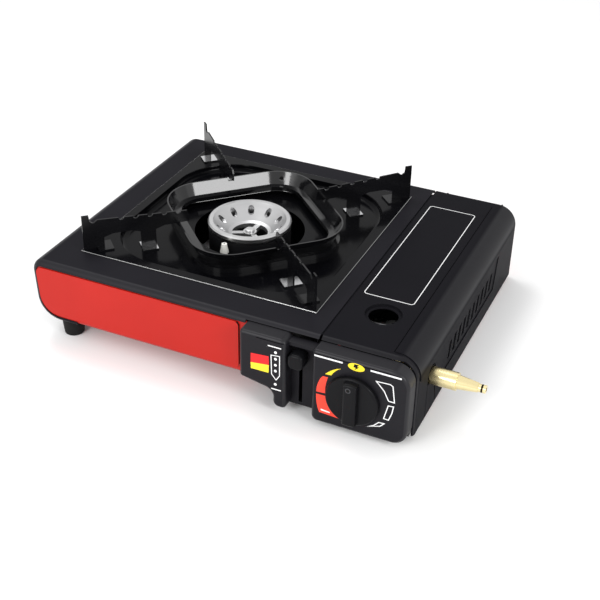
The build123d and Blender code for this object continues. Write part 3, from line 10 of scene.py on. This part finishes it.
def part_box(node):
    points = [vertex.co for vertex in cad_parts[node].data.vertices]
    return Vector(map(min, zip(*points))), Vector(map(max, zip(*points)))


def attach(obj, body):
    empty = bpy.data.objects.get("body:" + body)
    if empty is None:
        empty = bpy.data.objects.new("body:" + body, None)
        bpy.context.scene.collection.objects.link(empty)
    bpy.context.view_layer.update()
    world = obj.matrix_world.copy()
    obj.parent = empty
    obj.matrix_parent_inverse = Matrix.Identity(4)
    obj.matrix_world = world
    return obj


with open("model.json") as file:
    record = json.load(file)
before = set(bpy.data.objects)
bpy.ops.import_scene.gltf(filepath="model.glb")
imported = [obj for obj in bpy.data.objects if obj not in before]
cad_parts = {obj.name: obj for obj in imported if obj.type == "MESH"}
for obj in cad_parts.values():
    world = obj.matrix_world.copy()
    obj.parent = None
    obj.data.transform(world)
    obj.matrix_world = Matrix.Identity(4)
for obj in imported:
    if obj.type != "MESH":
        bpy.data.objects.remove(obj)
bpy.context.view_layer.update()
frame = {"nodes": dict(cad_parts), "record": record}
nodes = frame["nodes"]
mm = 0.001

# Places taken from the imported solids
panel_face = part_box("control_panel")[0].y
knob_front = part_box("control_knob")[0].y
deck_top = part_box("top_cover")[1].z
panel_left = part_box("control_panel")[0].x
tail_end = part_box("hose_nozzle")[1].x

# Limits of the places that get painted shade or a painted highlight
body_middle = (0.0, 0.0, 45 * mm)
pan_front_end = -100 * mm
highlight_tab_top = 71.5 * mm
highlight_rear_left_top = 78 * mm
tip_shade_band = (tail_end - 3.8 * mm, tail_end - 2.2 * mm)


# Small steps that the node trees are made of

def object_place(tree):
    """Place on the part, as a vector."""
    return tree.nodes.new("ShaderNodeTexCoord").outputs["Object"]


def surface_normal(tree):
    """Direction in which the surface looks, as a vector."""
    return tree.nodes.new("ShaderNodeNewGeometry").outputs["Normal"]


def axes_of(tree, vector):
    """The X, Y and Z of a vector, by name."""
    node = tree.nodes.new("ShaderNodeSeparateXYZ")
    tree.links.new(vector, node.inputs["Vector"])
    return node.outputs


def combine(tree, kind, first, second):
    """One value from two: MULTIPLY where both masks hold, MAXIMUM where either does."""
    node = tree.nodes.new("ShaderNodeMath")
    node.operation = kind
    tree.links.new(first, node.inputs[0])
    tree.links.new(second, node.inputs[1])
    return node.outputs["Value"]


def compare(tree, kind, source, limit):
    """1 where a value lies below (LESS_THAN) or above (GREATER_THAN) a limit."""
    node = tree.nodes.new("ShaderNodeMath")
    node.operation = kind
    node.inputs[1].default_value = limit
    tree.links.new(source, node.inputs[0])
    return node.outputs["Value"]


def remap(tree, source, old, new=(0.0, 1.0)):
    """Maps one range of values to another and stops at its ends."""
    node = tree.nodes.new("ShaderNodeMapRange")
    for label, value in zip(("From Min", "From Max", "To Min", "To Max"), (*old, *new)):
        node.inputs[label].default_value = value
    tree.links.new(source, node.inputs["Value"])
    return node.outputs["Result"]


def noise_at(tree, place, scale, detail):
    """Noise texture on a place, with its scale from a socket."""
    node = tree.nodes.new("ShaderNodeTexNoise")
    node.inputs["Detail"].default_value = detail
    tree.links.new(scale, node.inputs["Scale"])
    tree.links.new(place, node.inputs["Vector"])
    return node.outputs["Fac"]


# Node groups shared by the finishes

def start_group(name, inputs, outputs):
    """Empty shader group with named sockets; gives the tree and its two end nodes."""
    tree = bpy.data.node_groups.new(name, "ShaderNodeTree")
    for label, value in inputs.items():
        kind = "NodeSocketVector" if isinstance(value, tuple) else "NodeSocketFloat"
        socket = tree.interface.new_socket(label, in_out="INPUT", socket_type=kind)
        socket.default_value = value
    for label in outputs:
        tree.interface.new_socket(label, in_out="OUTPUT", socket_type="NodeSocketFloat")
    way_in = tree.nodes.new("NodeGroupInput")
    way_out = tree.nodes.new("NodeGroupOutput")
    return tree, way_in, way_out


def make_sprayed_surface():
    """Fine ripple of sprayed paint, and slow clouds across the sheet."""
    tree, way_in, way_out = start_group(
        "Sprayed surface", {"Ripple scale": 900.0, "Cloud scale": 14.0}, ("Ripple", "Clouds")
    )
    place = object_place(tree)
    ripple = noise_at(tree, place, way_in.outputs["Ripple scale"], 2.0)
    clouds = noise_at(tree, place, way_in.outputs["Cloud scale"], 3.0)
    tree.links.new(ripple, way_out.inputs["Ripple"])
    tree.links.new(clouds, way_out.inputs["Clouds"])
    return tree


# How much the metal's lines change along each axis
along_depth = (1.0, 0.04, 1.0)
round_tail = (1.0, 0.02, 0.02)
round_burner = (0.03, 0.03, 1.0)


def make_rolled_metal():
    """Long thin scratches along one direction, as on rolled or wiped metal."""
    tree, way_in, way_out = start_group(
        "Rolled metal",
        {"Line scale": 700.0, "Cloud scale": 25.0, "Grain": along_depth},
        ("Lines", "Clouds"),
    )
    place = object_place(tree)
    stretch = tree.nodes.new("ShaderNodeMapping")
    tree.links.new(way_in.outputs["Grain"], stretch.inputs["Scale"])
    tree.links.new(place, stretch.inputs["Vector"])
    lines = noise_at(tree, stretch.outputs["Vector"], way_in.outputs["Line scale"], 4.0)
    clouds = noise_at(tree, place, way_in.outputs["Cloud scale"], 4.0)
    tree.links.new(lines, way_out.inputs["Lines"])
    tree.links.new(clouds, way_out.inputs["Clouds"])
    return tree


def make_settled_dust():
    """Mask of thin dust that lies on faces turned upwards."""
    tree, way_in, way_out = start_group("Settled dust", {"Patch scale": 40.0}, ("Dust",))
    patches = noise_at(tree, object_place(tree), way_in.outputs["Patch scale"], 6.0)
    upward = remap(tree, axes_of(tree, surface_normal(tree))["Z"], (0.6, 1.0))
    settled = combine(tree, "MULTIPLY", upward, remap(tree, patches, (0.45, 0.75)))
    tree.links.new(settled, way_out.inputs["Dust"])
    return tree


sprayed = make_sprayed_surface()
rolled = make_rolled_metal()
dust = make_settled_dust()


# Finishes

noise_range = (0.3, 0.7)
paint_rough_range = 0.03
dust_patch_scale = 55.0
dust_roughness = 0.06
ripple_strength = 0.35
line_strength = 0.3
coat_roughness = 0.1
edge_coat_ior = 2.2


def place_group(tree, group, settings):
    """Puts a shared group into a material with its own values."""
    node = tree.nodes.new("ShaderNodeGroup")
    node.node_tree = group
    for label, value in settings.items():
        node.inputs[label].default_value = value
    return node


def blend_colours(tree, mask, dark, light):
    """Colour between two paints, by a mask."""
    node = tree.nodes.new("ShaderNodeMix")
    node.data_type = "RGBA"
    node.inputs["A"].default_value = (*dark, 1.0)
    node.inputs["B"].default_value = (*light, 1.0)
    tree.links.new(mask, node.inputs["Factor"])
    return node.outputs["Result"]


def raise_bump(tree, height, depth, strength):
    """Bump from a height, in metres of depth."""
    node = tree.nodes.new("ShaderNodeBump")
    node.inputs["Distance"].default_value = depth
    node.inputs["Strength"].default_value = strength
    tree.links.new(height, node.inputs["Height"])
    return node.outputs["Normal"]


def start_finish(name, metallic, specular, coat=0.0):
    """New material with its Principled shader ready."""
    material = bpy.data.materials.new(name)
    material.use_nodes = True
    tree = material.node_tree
    shader = tree.nodes["Principled BSDF"]
    shader.inputs["Metallic"].default_value = metallic
    shader.inputs["Specular IOR Level"].default_value = specular
    shader.inputs["Coat Weight"].default_value = coat
    shader.inputs["Coat Roughness"].default_value = coat_roughness
    return material, tree, shader


def painted(name, dark, light, rough, specular, ripple, depth, coat=0.0):
    """Sprayed or moulded surface with ripple, clouds and a trace of dust."""
    material, tree, shader = start_finish(name, 0.0, specular, coat)
    spray = place_group(tree, sprayed, {"Ripple scale": ripple})
    clouds = spray.outputs["Clouds"]
    colour = blend_colours(tree, remap(tree, clouds, noise_range), dark, light)
    tree.links.new(colour, shader.inputs["Base Color"])
    settled = place_group(tree, dust, {"Patch scale": dust_patch_scale})
    rough_ends = (rough - paint_rough_range, rough + paint_rough_range)
    dusty = tree.nodes.new("ShaderNodeMath")
    dusty.operation = "MULTIPLY_ADD"
    dusty.inputs[1].default_value = dust_roughness
    tree.links.new(settled.outputs["Dust"], dusty.inputs[0])
    tree.links.new(remap(tree, clouds, noise_range, rough_ends), dusty.inputs[2])
    tree.links.new(dusty.outputs["Value"], shader.inputs["Roughness"])
    bump = raise_bump(tree, spray.outputs["Ripple"], depth, ripple_strength)
    tree.links.new(bump, shader.inputs["Normal"])
    return material


def metal(name, dark, light, rough, line_scale, depth, grain=along_depth):
    """Bare metal with rolling or turning lines."""
    material, tree, shader = start_finish(name, 1.0, 0.5)
    surface = place_group(tree, rolled, {"Line scale": line_scale, "Grain": grain})
    lines = surface.outputs["Lines"]
    clouds = remap(tree, surface.outputs["Clouds"], noise_range)
    tree.links.new(blend_colours(tree, clouds, dark, light), shader.inputs["Base Color"])
    rough_ends = (rough - 0.04, rough + 0.05)
    tree.links.new(remap(tree, lines, noise_range, rough_ends), shader.inputs["Roughness"])
    tree.links.new(raise_bump(tree, lines, depth, line_strength), shader.inputs["Normal"])
    return material


def overlay(material, mask, colour, metallic):
    """Lays a plain colour over a material where a mask says; here it paints shade and
    highlights.
    """
    tree = material.node_tree
    shader = tree.nodes["Principled BSDF"]
    below = shader.inputs["Base Color"].links[0].from_socket
    mix = tree.nodes.new("ShaderNodeMix")
    mix.data_type = "RGBA"
    mix.inputs["B"].default_value = (*colour, 1.0)
    tree.links.new(below, mix.inputs["A"])
    tree.links.new(mask, mix.inputs["Factor"])
    tree.links.new(mix.outputs["Result"], shader.inputs["Base Color"])
    if metallic:
        tree.links.new(mask, shader.inputs["Metallic"])


def inward_faces(tree):
    """Mask of the faces that look towards the middle of the body."""
    outward = tree.nodes.new("ShaderNodeVectorMath")
    outward.operation = "SUBTRACT"
    outward.inputs[1].default_value = body_middle
    tree.links.new(object_place(tree), outward.inputs[0])
    facing = tree.nodes.new("ShaderNodeVectorMath")
    facing.operation = "DOT_PRODUCT"
    tree.links.new(outward.outputs["Vector"], facing.inputs[0])
    tree.links.new(surface_normal(tree), facing.inputs[1])
    return compare(tree, "LESS_THAN", facing.outputs["Value"], 0.0)


def covered_faces(tree):
    """Mask of the pan's front behind the control panel and of its side behind the lid."""
    place = axes_of(tree, object_place(tree))
    right = compare(tree, "GREATER_THAN", place["X"], panel_left)
    front = compare(tree, "LESS_THAN", place["Y"], pan_front_end)
    behind_panel = combine(tree, "MULTIPLY", right, front)
    facing = axes_of(tree, surface_normal(tree))
    behind_lid = compare(tree, "GREATER_THAN", facing["X"], 0.5)
    return combine(tree, "MAXIMUM", behind_panel, behind_lid)


def band_across(tree, start, end):
    """Mask of a band between two places along X."""
    across = axes_of(tree, object_place(tree))["X"]
    after_start = compare(tree, "GREATER_THAN", across, start)
    before_end = compare(tree, "LESS_THAN", across, end)
    return combine(tree, "MULTIPLY", after_start, before_end)


def low_upward_faces(tree, height):
    """Mask of the faces that look up and lie below a height."""
    low = compare(tree, "LESS_THAN", axes_of(tree, object_place(tree))["Z"], height)
    upward = compare(tree, "GREATER_THAN", axes_of(tree, surface_normal(tree))["Z"], 0.9)
    return combine(tree, "MULTIPLY", low, upward)


def gloss_on_edges(material, flat, edge, coat=0.0, above=0.0):
    """Raises the gloss of rounded edges and slopes above a height over that of square faces."""
    tree = material.node_tree
    size = tree.nodes.new("ShaderNodeVectorMath")
    size.operation = "ABSOLUTE"
    tree.links.new(surface_normal(tree), size.inputs[0])
    facing = axes_of(tree, size.outputs["Vector"])
    level = combine(tree, "MAXIMUM", facing["X"], facing["Y"])
    squareness = combine(tree, "MAXIMUM", level, facing["Z"])
    edges = remap(tree, squareness, (0.99, 0.95))
    high = compare(tree, "GREATER_THAN", axes_of(tree, object_place(tree))["Z"], above)
    mask = combine(tree, "MULTIPLY", edges, high)
    shader = tree.nodes["Principled BSDF"]
    shader.inputs["Coat IOR"].default_value = edge_coat_ior
    for label, ends in (("Specular IOR Level", (flat, edge)), ("Coat Weight", (0.0, coat))):
        tree.links.new(remap(tree, mask, (0.0, 1.0), ends), shader.inputs[label])


satin_specular = 0.012
enamel_specular = 0.06
panel_specular = 0.13
enamel_dark = (0.003, 0.003, 0.0035)
enamel_light = (0.005, 0.005, 0.006)
# Colours painted as light: bright steel as the tabs' highlight, dark as shade on the pan and the
# tail's tip
highlight_steel = (0.55, 0.55, 0.56)
painted_pan_shade = (0.010, 0.010, 0.011)
painted_tip_shade = (0.02, 0.016, 0.009)

satin_black = painted(
    "satin_black_paint", (0.0125, 0.0121, 0.0148), (0.0148, 0.0143, 0.0174),
    rough=0.42, specular=satin_specular, ripple=1400, depth=2e-5,
)
# Painted shade: a darker copy of the satin black for the lid and its tail plate, for the dimmer
# light there
shaded_lid_black = painted(
    "shaded_lid_paint", (0.0075, 0.0073, 0.0092), (0.0090, 0.0087, 0.0108),
    rough=0.42, specular=satin_specular, ripple=1400, depth=2e-5,
)
gloss_red = painted(
    "gloss_red_paint", (0.43, 0.013, 0.0075), (0.47, 0.015, 0.009),
    rough=0.32, specular=0.15, ripple=700, depth=1e-5, coat=0.1,
)
black_enamel = painted(
    "black_enamel", (0.002, 0.002, 0.0025), (0.003, 0.003, 0.004),
    rough=0.14, specular=enamel_specular, ripple=260, depth=6e-6,
)
ring_enamel = painted(
    "ring_enamel", enamel_dark, enamel_light, rough=0.13, specular=0.5, ripple=260, depth=4e-6
)
fin_enamel = painted(
    "fin_enamel", enamel_dark, enamel_light, rough=0.2, specular=0.2, ripple=400, depth=1e-5
)
highlit_fin_enamel = painted(
    "highlit_rear_left_fin_enamel", enamel_dark, enamel_light, rough=0.2, specular=0.2, ripple=400, depth=1e-5
)
panel_black = painted(
    "panel_plastic", (0.0085, 0.0081, 0.0105), (0.0105, 0.0100, 0.0125),
    rough=0.42, specular=panel_specular, ripple=2200, depth=2e-5,
)
knob_black = painted(
    "knob_plastic", (0.0045, 0.0045, 0.0055), (0.0060, 0.0060, 0.0070),
    rough=0.38, specular=0.1, ripple=2200, depth=2e-5,
)
burner_black = painted(
    "burner_coating", (0.006, 0.006, 0.007), (0.010, 0.010, 0.011),
    rough=0.5, specular=0.15, ripple=900, depth=5e-5,
)
foot_rubber = painted(
    "foot_rubber", (0.008, 0.008, 0.008), (0.011, 0.011, 0.011),
    rough=0.7, specular=0.15, ripple=1200, depth=6e-5,
)
white_ceramic = painted(
    "white_ceramic", (0.80, 0.79, 0.75), (0.86, 0.85, 0.82),
    rough=0.25, specular=0.5, ripple=300, depth=1e-5, coat=0.3,
)
lead_rubber = painted(
    "lead_insulation", (0.42, 0.03, 0.025), (0.48, 0.04, 0.03),
    rough=0.5, specular=0.4, ripple=900, depth=2e-5,
)


def ink_of(name, dark, light, rough, specular):
    """Printing ink."""
    return painted(name, dark, light, rough, specular, ripple=1600, depth=1e-5)


white_ink = ink_of("white_ink", (0.78, 0.78, 0.78), (0.86, 0.86, 0.86), 0.5, 0.3)
orange_ink = ink_of("orange_red_ink", (0.86, 0.06, 0.035), (0.92, 0.07, 0.04), 0.5, 0.2)
red_ink = ink_of("label_red_ink", (0.76, 0.018, 0.02), (0.82, 0.022, 0.024), 0.45, 0.2)
yellow_ink = ink_of("yellow_ink", (0.84, 0.64, 0.03), (0.90, 0.72, 0.04), 0.5, 0.2)
# Dark ink is print on the panel and also the painted shade in the knob's dimple; grey ink is the
# painted highlight on its rim
dark_ink_and_shade = ink_of("dark_ink_and_shade", (0.004, 0.004, 0.004), (0.006, 0.006, 0.006), 0.5, 0.1)
dimple_highlight_ink = ink_of("dimple_highlight_ink", (0.045, 0.045, 0.05), (0.06, 0.06, 0.065), 0.45, 0.2)

plated_steel = metal(
    "zinc_plated_steel", (0.48, 0.48, 0.49), (0.60, 0.60, 0.60),
    rough=0.34, line_scale=800, depth=2e-5,
)
cast_aluminium = metal(
    "cast_aluminium", (0.45, 0.45, 0.46), (0.54, 0.54, 0.54),
    rough=0.38, line_scale=420, depth=1e-5, grain=round_burner,
)
valve_alloy = metal(
    "die_cast_alloy", (0.40, 0.40, 0.41), (0.50, 0.50, 0.51),
    rough=0.45, line_scale=500, depth=4e-5,
)
turned_brass = metal(
    "turned_brass", (0.84, 0.71, 0.38), (0.89, 0.77, 0.44),
    rough=0.26, line_scale=60, depth=2e-7, grain=round_tail,
)

# Painted shade: the pan is painted dark inside and where it is covered. Painted highlight: the
# fins' low tabs are painted bright steel. Painted shade: a dark band at the hose tail's tip
overlay(gloss_red, inward_faces(gloss_red.node_tree), painted_pan_shade, metallic=False)
overlay(gloss_red, covered_faces(gloss_red.node_tree), painted_pan_shade, metallic=False)
# Painted highlight: bright steel colour laid on the low, upward faces of the fins' tabs
for enamel, highlight_top in ((fin_enamel, highlight_tab_top), (highlit_fin_enamel, highlight_rear_left_top)):
    overlay(enamel, low_upward_faces(enamel.node_tree, highlight_top), highlight_steel, metallic=True)
# Painted shade: dark band laid round the hose tail near its tip
overlay(turned_brass, band_across(turned_brass.node_tree, *tip_shade_band), painted_tip_shade, metallic=False)

gloss_on_edges(black_enamel, enamel_specular, 1.0, coat=1.0, above=deck_top)
gloss_on_edges(panel_black, panel_specular, 0.28)
gloss_on_edges(satin_black, satin_specular, 0.12)
gloss_on_edges(shaded_lid_black, satin_specular, 0.12)

finish_of_slot = {
    "red_paint": gloss_red,
    "black_paint": satin_black,
    "black_enamel": black_enamel,
    "aluminium": cast_aluminium,
    "burner_black": burner_black,
    "steel": plated_steel,
    "valve_alloy": valve_alloy,
    "brass": turned_brass,
    "panel_plastic": panel_black,
    "knob_plastic": knob_black,
    "ceramic": white_ceramic,
    "foot_rubber": foot_rubber,
    "lead_rubber": lead_rubber,
}
finish_of_node = {
    "pan_ring": ring_enamel,
    "pan_fin_front_left": fin_enamel,
    "pan_fin_front_right": fin_enamel,
    "pan_fin_rear_right": fin_enamel,
    "pan_fin_rear_left": highlit_fin_enamel,
    "cartridge_lid": shaded_lid_black,
    "tail_plate": shaded_lid_black,
}
for entry in frame["record"]["subparts"]:
    finish = finish_of_node.get(entry["node"], finish_of_slot[entry["material_slot"]])
    for place in nodes[entry["node"]].material_slots:
        place.material = finish


# Printed marks, drawn as flat outlines in millimetres and set on a face

ink_layer = 0.04 * mm
on_front = (pi / 2, 0.0, 0.0)
on_top = (0.0, 0.0, 0.0)


def printed(name, loops, ink, turn, place, body):
    """Flat mark from closed outlines; inner outlines are left open."""
    drawing = bpy.data.curves.new(name, "CURVE")
    drawing.dimensions = "2D"
    drawing.fill_mode = "BOTH"
    drawing.extrude = ink_layer
    for loop in loops:
        line = drawing.splines.new("POLY")
        line.points.add(len(loop) - 1)
        for point, (across, up) in zip(line.points, loop):
            point.co = (across * mm, up * mm, 0.0, 1.0)
        line.use_cyclic_u = True
    mark = bpy.data.objects.new(name, drawing)
    bpy.context.scene.collection.objects.link(mark)
    bpy.ops.object.select_all(action="DESELECT")
    mark.select_set(True)
    bpy.context.view_layer.objects.active = mark
    bpy.ops.object.convert(target="MESH")
    mark = bpy.context.view_layer.objects.active
    mark.rotation_euler = turn
    mark.location = place
    bpy.ops.object.transform_apply(location=True, rotation=True, scale=True)
    mark.data.materials.clear()
    mark.data.materials.append(ink)
    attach(mark, body)


def panel_mark(name, loops, ink, coat=1):
    """Mark on the front of the control panel, as the first or second coat of ink."""
    place = (0.0, panel_face - (2 * coat - 1) * ink_layer, 0.0)
    printed(name, loops, ink, on_front, place, "chassis")


def knob_mark(name, loops, ink):
    """Mark on the front of the knob's grip."""
    place = (0.0, knob_front - ink_layer, 0.0)
    printed(name, loops, ink, on_front, place, "knob")


def drawn_in(loop, width):
    """Outline moved inwards by a width, corner by corner."""
    count = len(loop)
    turns = [loop[i - 1][0] * loop[i][1] - loop[i][0] * loop[i - 1][1] for i in range(count)]
    side = width if sum(turns) > 0 else -width
    inner = []
    for i in range(count):
        before, here, after = (Vector(loop[j % count]) for j in (i - 1, i, i + 1))
        run_in = (here - before).normalized()
        run_out = (after - here).normalized()
        mitre = Vector((-run_in.y - run_out.y, run_in.x + run_out.x)).normalized()
        sharpness = max(0.3, mitre.dot(Vector((-run_in.y, run_in.x))))
        inner.append(tuple(here + mitre * side / sharpness))
    return inner


def outlined(loop, width):
    """An outline and its inner edge, for a mark that is only a line."""
    return [loop, drawn_in(loop, width)]


def ellipse(x, z, half_x, half_z, count=40):
    """Outline of an ellipse."""
    steps = [2 * pi * i / count for i in range(count)]
    return [(x + half_x * cos(angle), z + half_z * sin(angle)) for angle in steps]


def bar(x0, x1, z0, z1):
    """Outline of an upright rectangle."""
    return [(x0, z0), (x1, z0), (x1, z1), (x0, z1)]


def arc_points(centre, radius, start, end, count):
    """Points on an arc about a centre, angles in degrees from the first axis to the second."""
    steps = [radians(start + (end - start) * i / count) for i in range(count + 1)]
    return [(centre[0] + radius * cos(a), centre[1] + radius * sin(a)) for a in steps]


# Marks round the knob: two bars, the spark, the flame's scale and the outlines at the right
panel_mark("mark_bar_left", [bar(94.5, 117.6, 67.0, 68.4)], white_ink)
panel_mark("mark_bar_right", [bar(140.0, 164.5, 67.0, 68.4)], white_ink)
panel_mark("mark_spark_oval", [ellipse(128.6, 67.0, 6.7, 3.4)], yellow_ink)
flame_start = [
    (116.7, 61.9), (113.6, 60.8), (110.8, 59.2), (108.5, 57.5), (106.2, 55.5),
    (103.8, 53.0), (108.8, 53.3), (110.3, 56.0), (112.4, 58.6), (114.4, 60.4),
]
flame_low = [
    (101.9, 50.4), (106.2, 50.6), (105.0, 45.6), (104.3, 40.0), (104.4, 34.8),
    (97.0, 34.4), (97.3, 39.0), (98.4, 43.5), (100.0, 47.4),
]
flame_high = [
    (96.9, 32.2), (104.5, 32.4), (106.0, 28.0), (108.3, 24.2), (110.8, 21.2), (113.6, 18.5),
    (118.6, 15.3), (117.6, 14.3), (99.9, 15.4), (98.5, 19.4), (97.6, 23.7), (97.1, 28.0),
]
flame_dash = [(101.3, 19.1), (101.2, 17.6), (108.7, 17.1), (109.0, 18.2)]
spark = [
    (127.0, 69.6), (130.6, 69.6), (129.2, 67.6), (130.9, 67.6),
    (127.3, 64.2), (128.2, 66.6), (126.4, 66.6),
]
panel_mark("mark_flame_start", [flame_start], yellow_ink)
panel_mark("mark_flame_low", [flame_low], orange_ink)
panel_mark("mark_flame_high", [flame_high], orange_ink)
panel_mark("mark_flame_dash", [flame_dash], white_ink, coat=2)
panel_mark("mark_spark", [spark], dark_ink_and_shade, coat=2)
turn_line = 0.8
turn_marks = {
    "top": [
        (144.2, 59.9), (156.2, 60.5), (158.6, 59.1), (160.8, 44.0), (155.3, 44.2), (151.4, 52.2),
    ],
    "middle": [(155.3, 40.5), (160.3, 41.0), (159.3, 33.8), (156.9, 26.4), (152.2, 26.7)],
    "low": [(139.6, 14.9), (145.1, 18.3), (148.8, 22.4), (154.4, 22.8), (150.5, 18.5)],
}
for where, loop in turn_marks.items():
    panel_mark(f"mark_turn_{where}", outlined(loop, turn_line), white_ink)

# Marks beside the lever: two plain colour fields, a bottle's outline, dots and two end ticks
field_red = [(41.0, 53.1), (40.8, 44.3), (56.5, 46.2), (56.3, 54.4)]
field_yellow = [(40.8, 44.3), (41.0, 38.6), (56.3, 38.8), (56.5, 46.2)]
panel_mark("mark_field_red", [field_red], red_ink)
panel_mark("mark_field_yellow", [field_yellow], yellow_ink)
bottle = [(58.0, 56.7), (58.6, 38.4), (62.8, 33.3), (66.1, 38.5), (66.0, 57.5)]
bottle_line = 0.7
panel_mark("mark_bottle", outlined(bottle, bottle_line), white_ink)
dot_x = 62.2
dot_radius = 1.2
for number, height in enumerate((59.7, 53.6, 47.9, 42.3, 29.5)):
    dot = ellipse(dot_x, height, dot_radius, dot_radius, 20)
    panel_mark(f"mark_dot_{number}", [dot], white_ink)
panel_mark("mark_tick_high", [bar(55.6, 66.9, 64.1, 65.1)], white_ink)
panel_mark("mark_tick_low", [bar(58.7, 67.1, 24.1, 25.1)], white_ink)

# Plain frame line on the lid, round at its corners
frame_left, frame_right = 102.0, 139.0
frame_front, frame_rear = -60.5, 99.0
frame_corner = 3.0
frame_line = 0.65
lid_frame = []
for centre, start in (
    ((frame_right, frame_rear), 0),
    ((frame_left, frame_rear), 90),
    ((frame_left, frame_front), 180),
    ((frame_right, frame_front), 270),
):
    lid_frame += arc_points(centre, frame_corner, start, start + 90, 6)
lid_top = (0.0, 0.0, deck_top + ink_layer)
lid_loops = outlined(lid_frame, frame_line)
printed("lid_frame_line", lid_loops, white_ink, on_top, lid_top, "lid")

# Dimple on the knob's grip: a dark disc painted as the shade inside it, a grey ring painted as
# the highlight on its rim
dimple_x, dimple_z = 126.6, 51.2
dimple_radius = 1.5
rim_radius = 2.2
dimple = ellipse(dimple_x, dimple_z, dimple_radius, dimple_radius, 24)
rim = ellipse(dimple_x, dimple_z, rim_radius, rim_radius, 24)
knob_mark("knob_dimple", [dimple], dark_ink_and_shade)
knob_mark("knob_dimple_rim_highlight", [rim, dimple], dimple_highlight_ink)


# Camera, stage and light

def aim(position, yaw, pitch, roll):
    """Camera matrix from its place and angles in degrees."""
    yaw, pitch, roll = radians(yaw), radians(pitch), radians(roll)
    forward = Vector((-sin(yaw) * cos(pitch), cos(yaw) * cos(pitch), -sin(pitch)))
    side = Vector((cos(yaw), sin(yaw), 0.0))
    above = side.cross(forward)
    side_rolled = side * cos(roll) + above * sin(roll)
    above_rolled = above * cos(roll) - side * sin(roll)
    turn = Matrix((side_rolled, above_rolled, -forward)).transposed().to_4x4()
    return Matrix.Translation(position) @ turn


lens = bpy.data.cameras.new("photo_view")
lens.lens = 68.99
lens.sensor_width = 36.0
lens.clip_start = 0.01
camera = bpy.data.objects.new("photo_view", lens)
bpy.context.scene.collection.objects.link(camera)
camera.matrix_world = aim((0.3692, -0.7990, 0.5705), yaw=23.8905, pitch=32.789, roll=1.2177)
bpy.context.scene.camera = camera


def add_softbox(name, place, target, size, power):
    """Square area lamp aimed at a point."""
    lamp = bpy.data.lights.new(name, "AREA")
    lamp.size = size
    lamp.energy = power
    box = bpy.data.objects.new(name, lamp)
    bpy.context.scene.collection.objects.link(box)
    box.location = place
    box.rotation_euler = (Vector(target) - Vector(place)).to_track_quat("-Z", "Y").to_euler()


add_softbox("overhead_softbox", (-0.6, 0.37, 1.45), (0.0, 0.0, 0.05), size=0.6, power=7.0)
add_softbox("front_softbox", (-0.9, -1.3, 1.1), (0.0, -0.05, 0.05), size=0.8, power=3.5)
add_softbox("right_softbox", (1.5, -0.2, 0.9), (0.1, 0.0, 0.05), size=0.8, power=0.8)
# Small bright panels that the ring's wall mirrors
right_wall = (-0.08, 0.05, 0.083)
front_wall = (-0.03, 0.08, 0.083)
add_softbox("low_right_panel", (0.965, -0.512, 0.613), right_wall, size=0.35, power=5.0)
add_softbox("low_front_panel", (-0.24, -1.08, 0.616), front_wall, size=0.35, power=5.0)

bpy.ops.object.select_all(action="DESELECT")
bpy.ops.mesh.primitive_plane_add(size=8.0, location=(0.0, 0.0, 0.0))
floor = bpy.context.view_layer.objects.active
floor.name = "studio_floor"
bpy.ops.object.mode_set(mode="EDIT")
bpy.ops.mesh.subdivide(number_cuts=8)
bpy.ops.object.mode_set(mode="OBJECT")
floor_paint = bpy.data.materials.new("studio_floor")
floor_paint.use_nodes = True
floor_shader = floor_paint.node_tree.nodes["Principled BSDF"]
floor_shader.inputs["Base Color"].default_value = (0.9, 0.9, 0.9, 1.0)
floor_shader.inputs["Roughness"].default_value = 0.9
floor_shader.inputs["Specular IOR Level"].default_value = 0.1
floor.data.materials.append(floor_paint)

# White backdrop where it is seen or mirrored, a little dimmer as a source of light
diffuse_light = 0.85
seen_light = 1.0
world = bpy.data.worlds.new("studio")
bpy.context.scene.world = world
world.use_nodes = True
sky = world.node_tree
backdrop = sky.nodes["Background"]
rays = sky.nodes.new("ShaderNodeLightPath").outputs
seen = combine(sky, "MAXIMUM", rays["Is Camera Ray"], rays["Is Glossy Ray"])
seen = combine(sky, "MAXIMUM", seen, rays["Is Transmission Ray"])
strength = remap(sky, seen, (0.0, 1.0), (diffuse_light, seen_light))
backdrop.inputs["Color"].default_value = (1.0, 1.0, 1.0, 1.0)
sky.links.new(strength, backdrop.inputs["Strength"])

bpy.context.scene.view_settings.view_transform = "Standard"
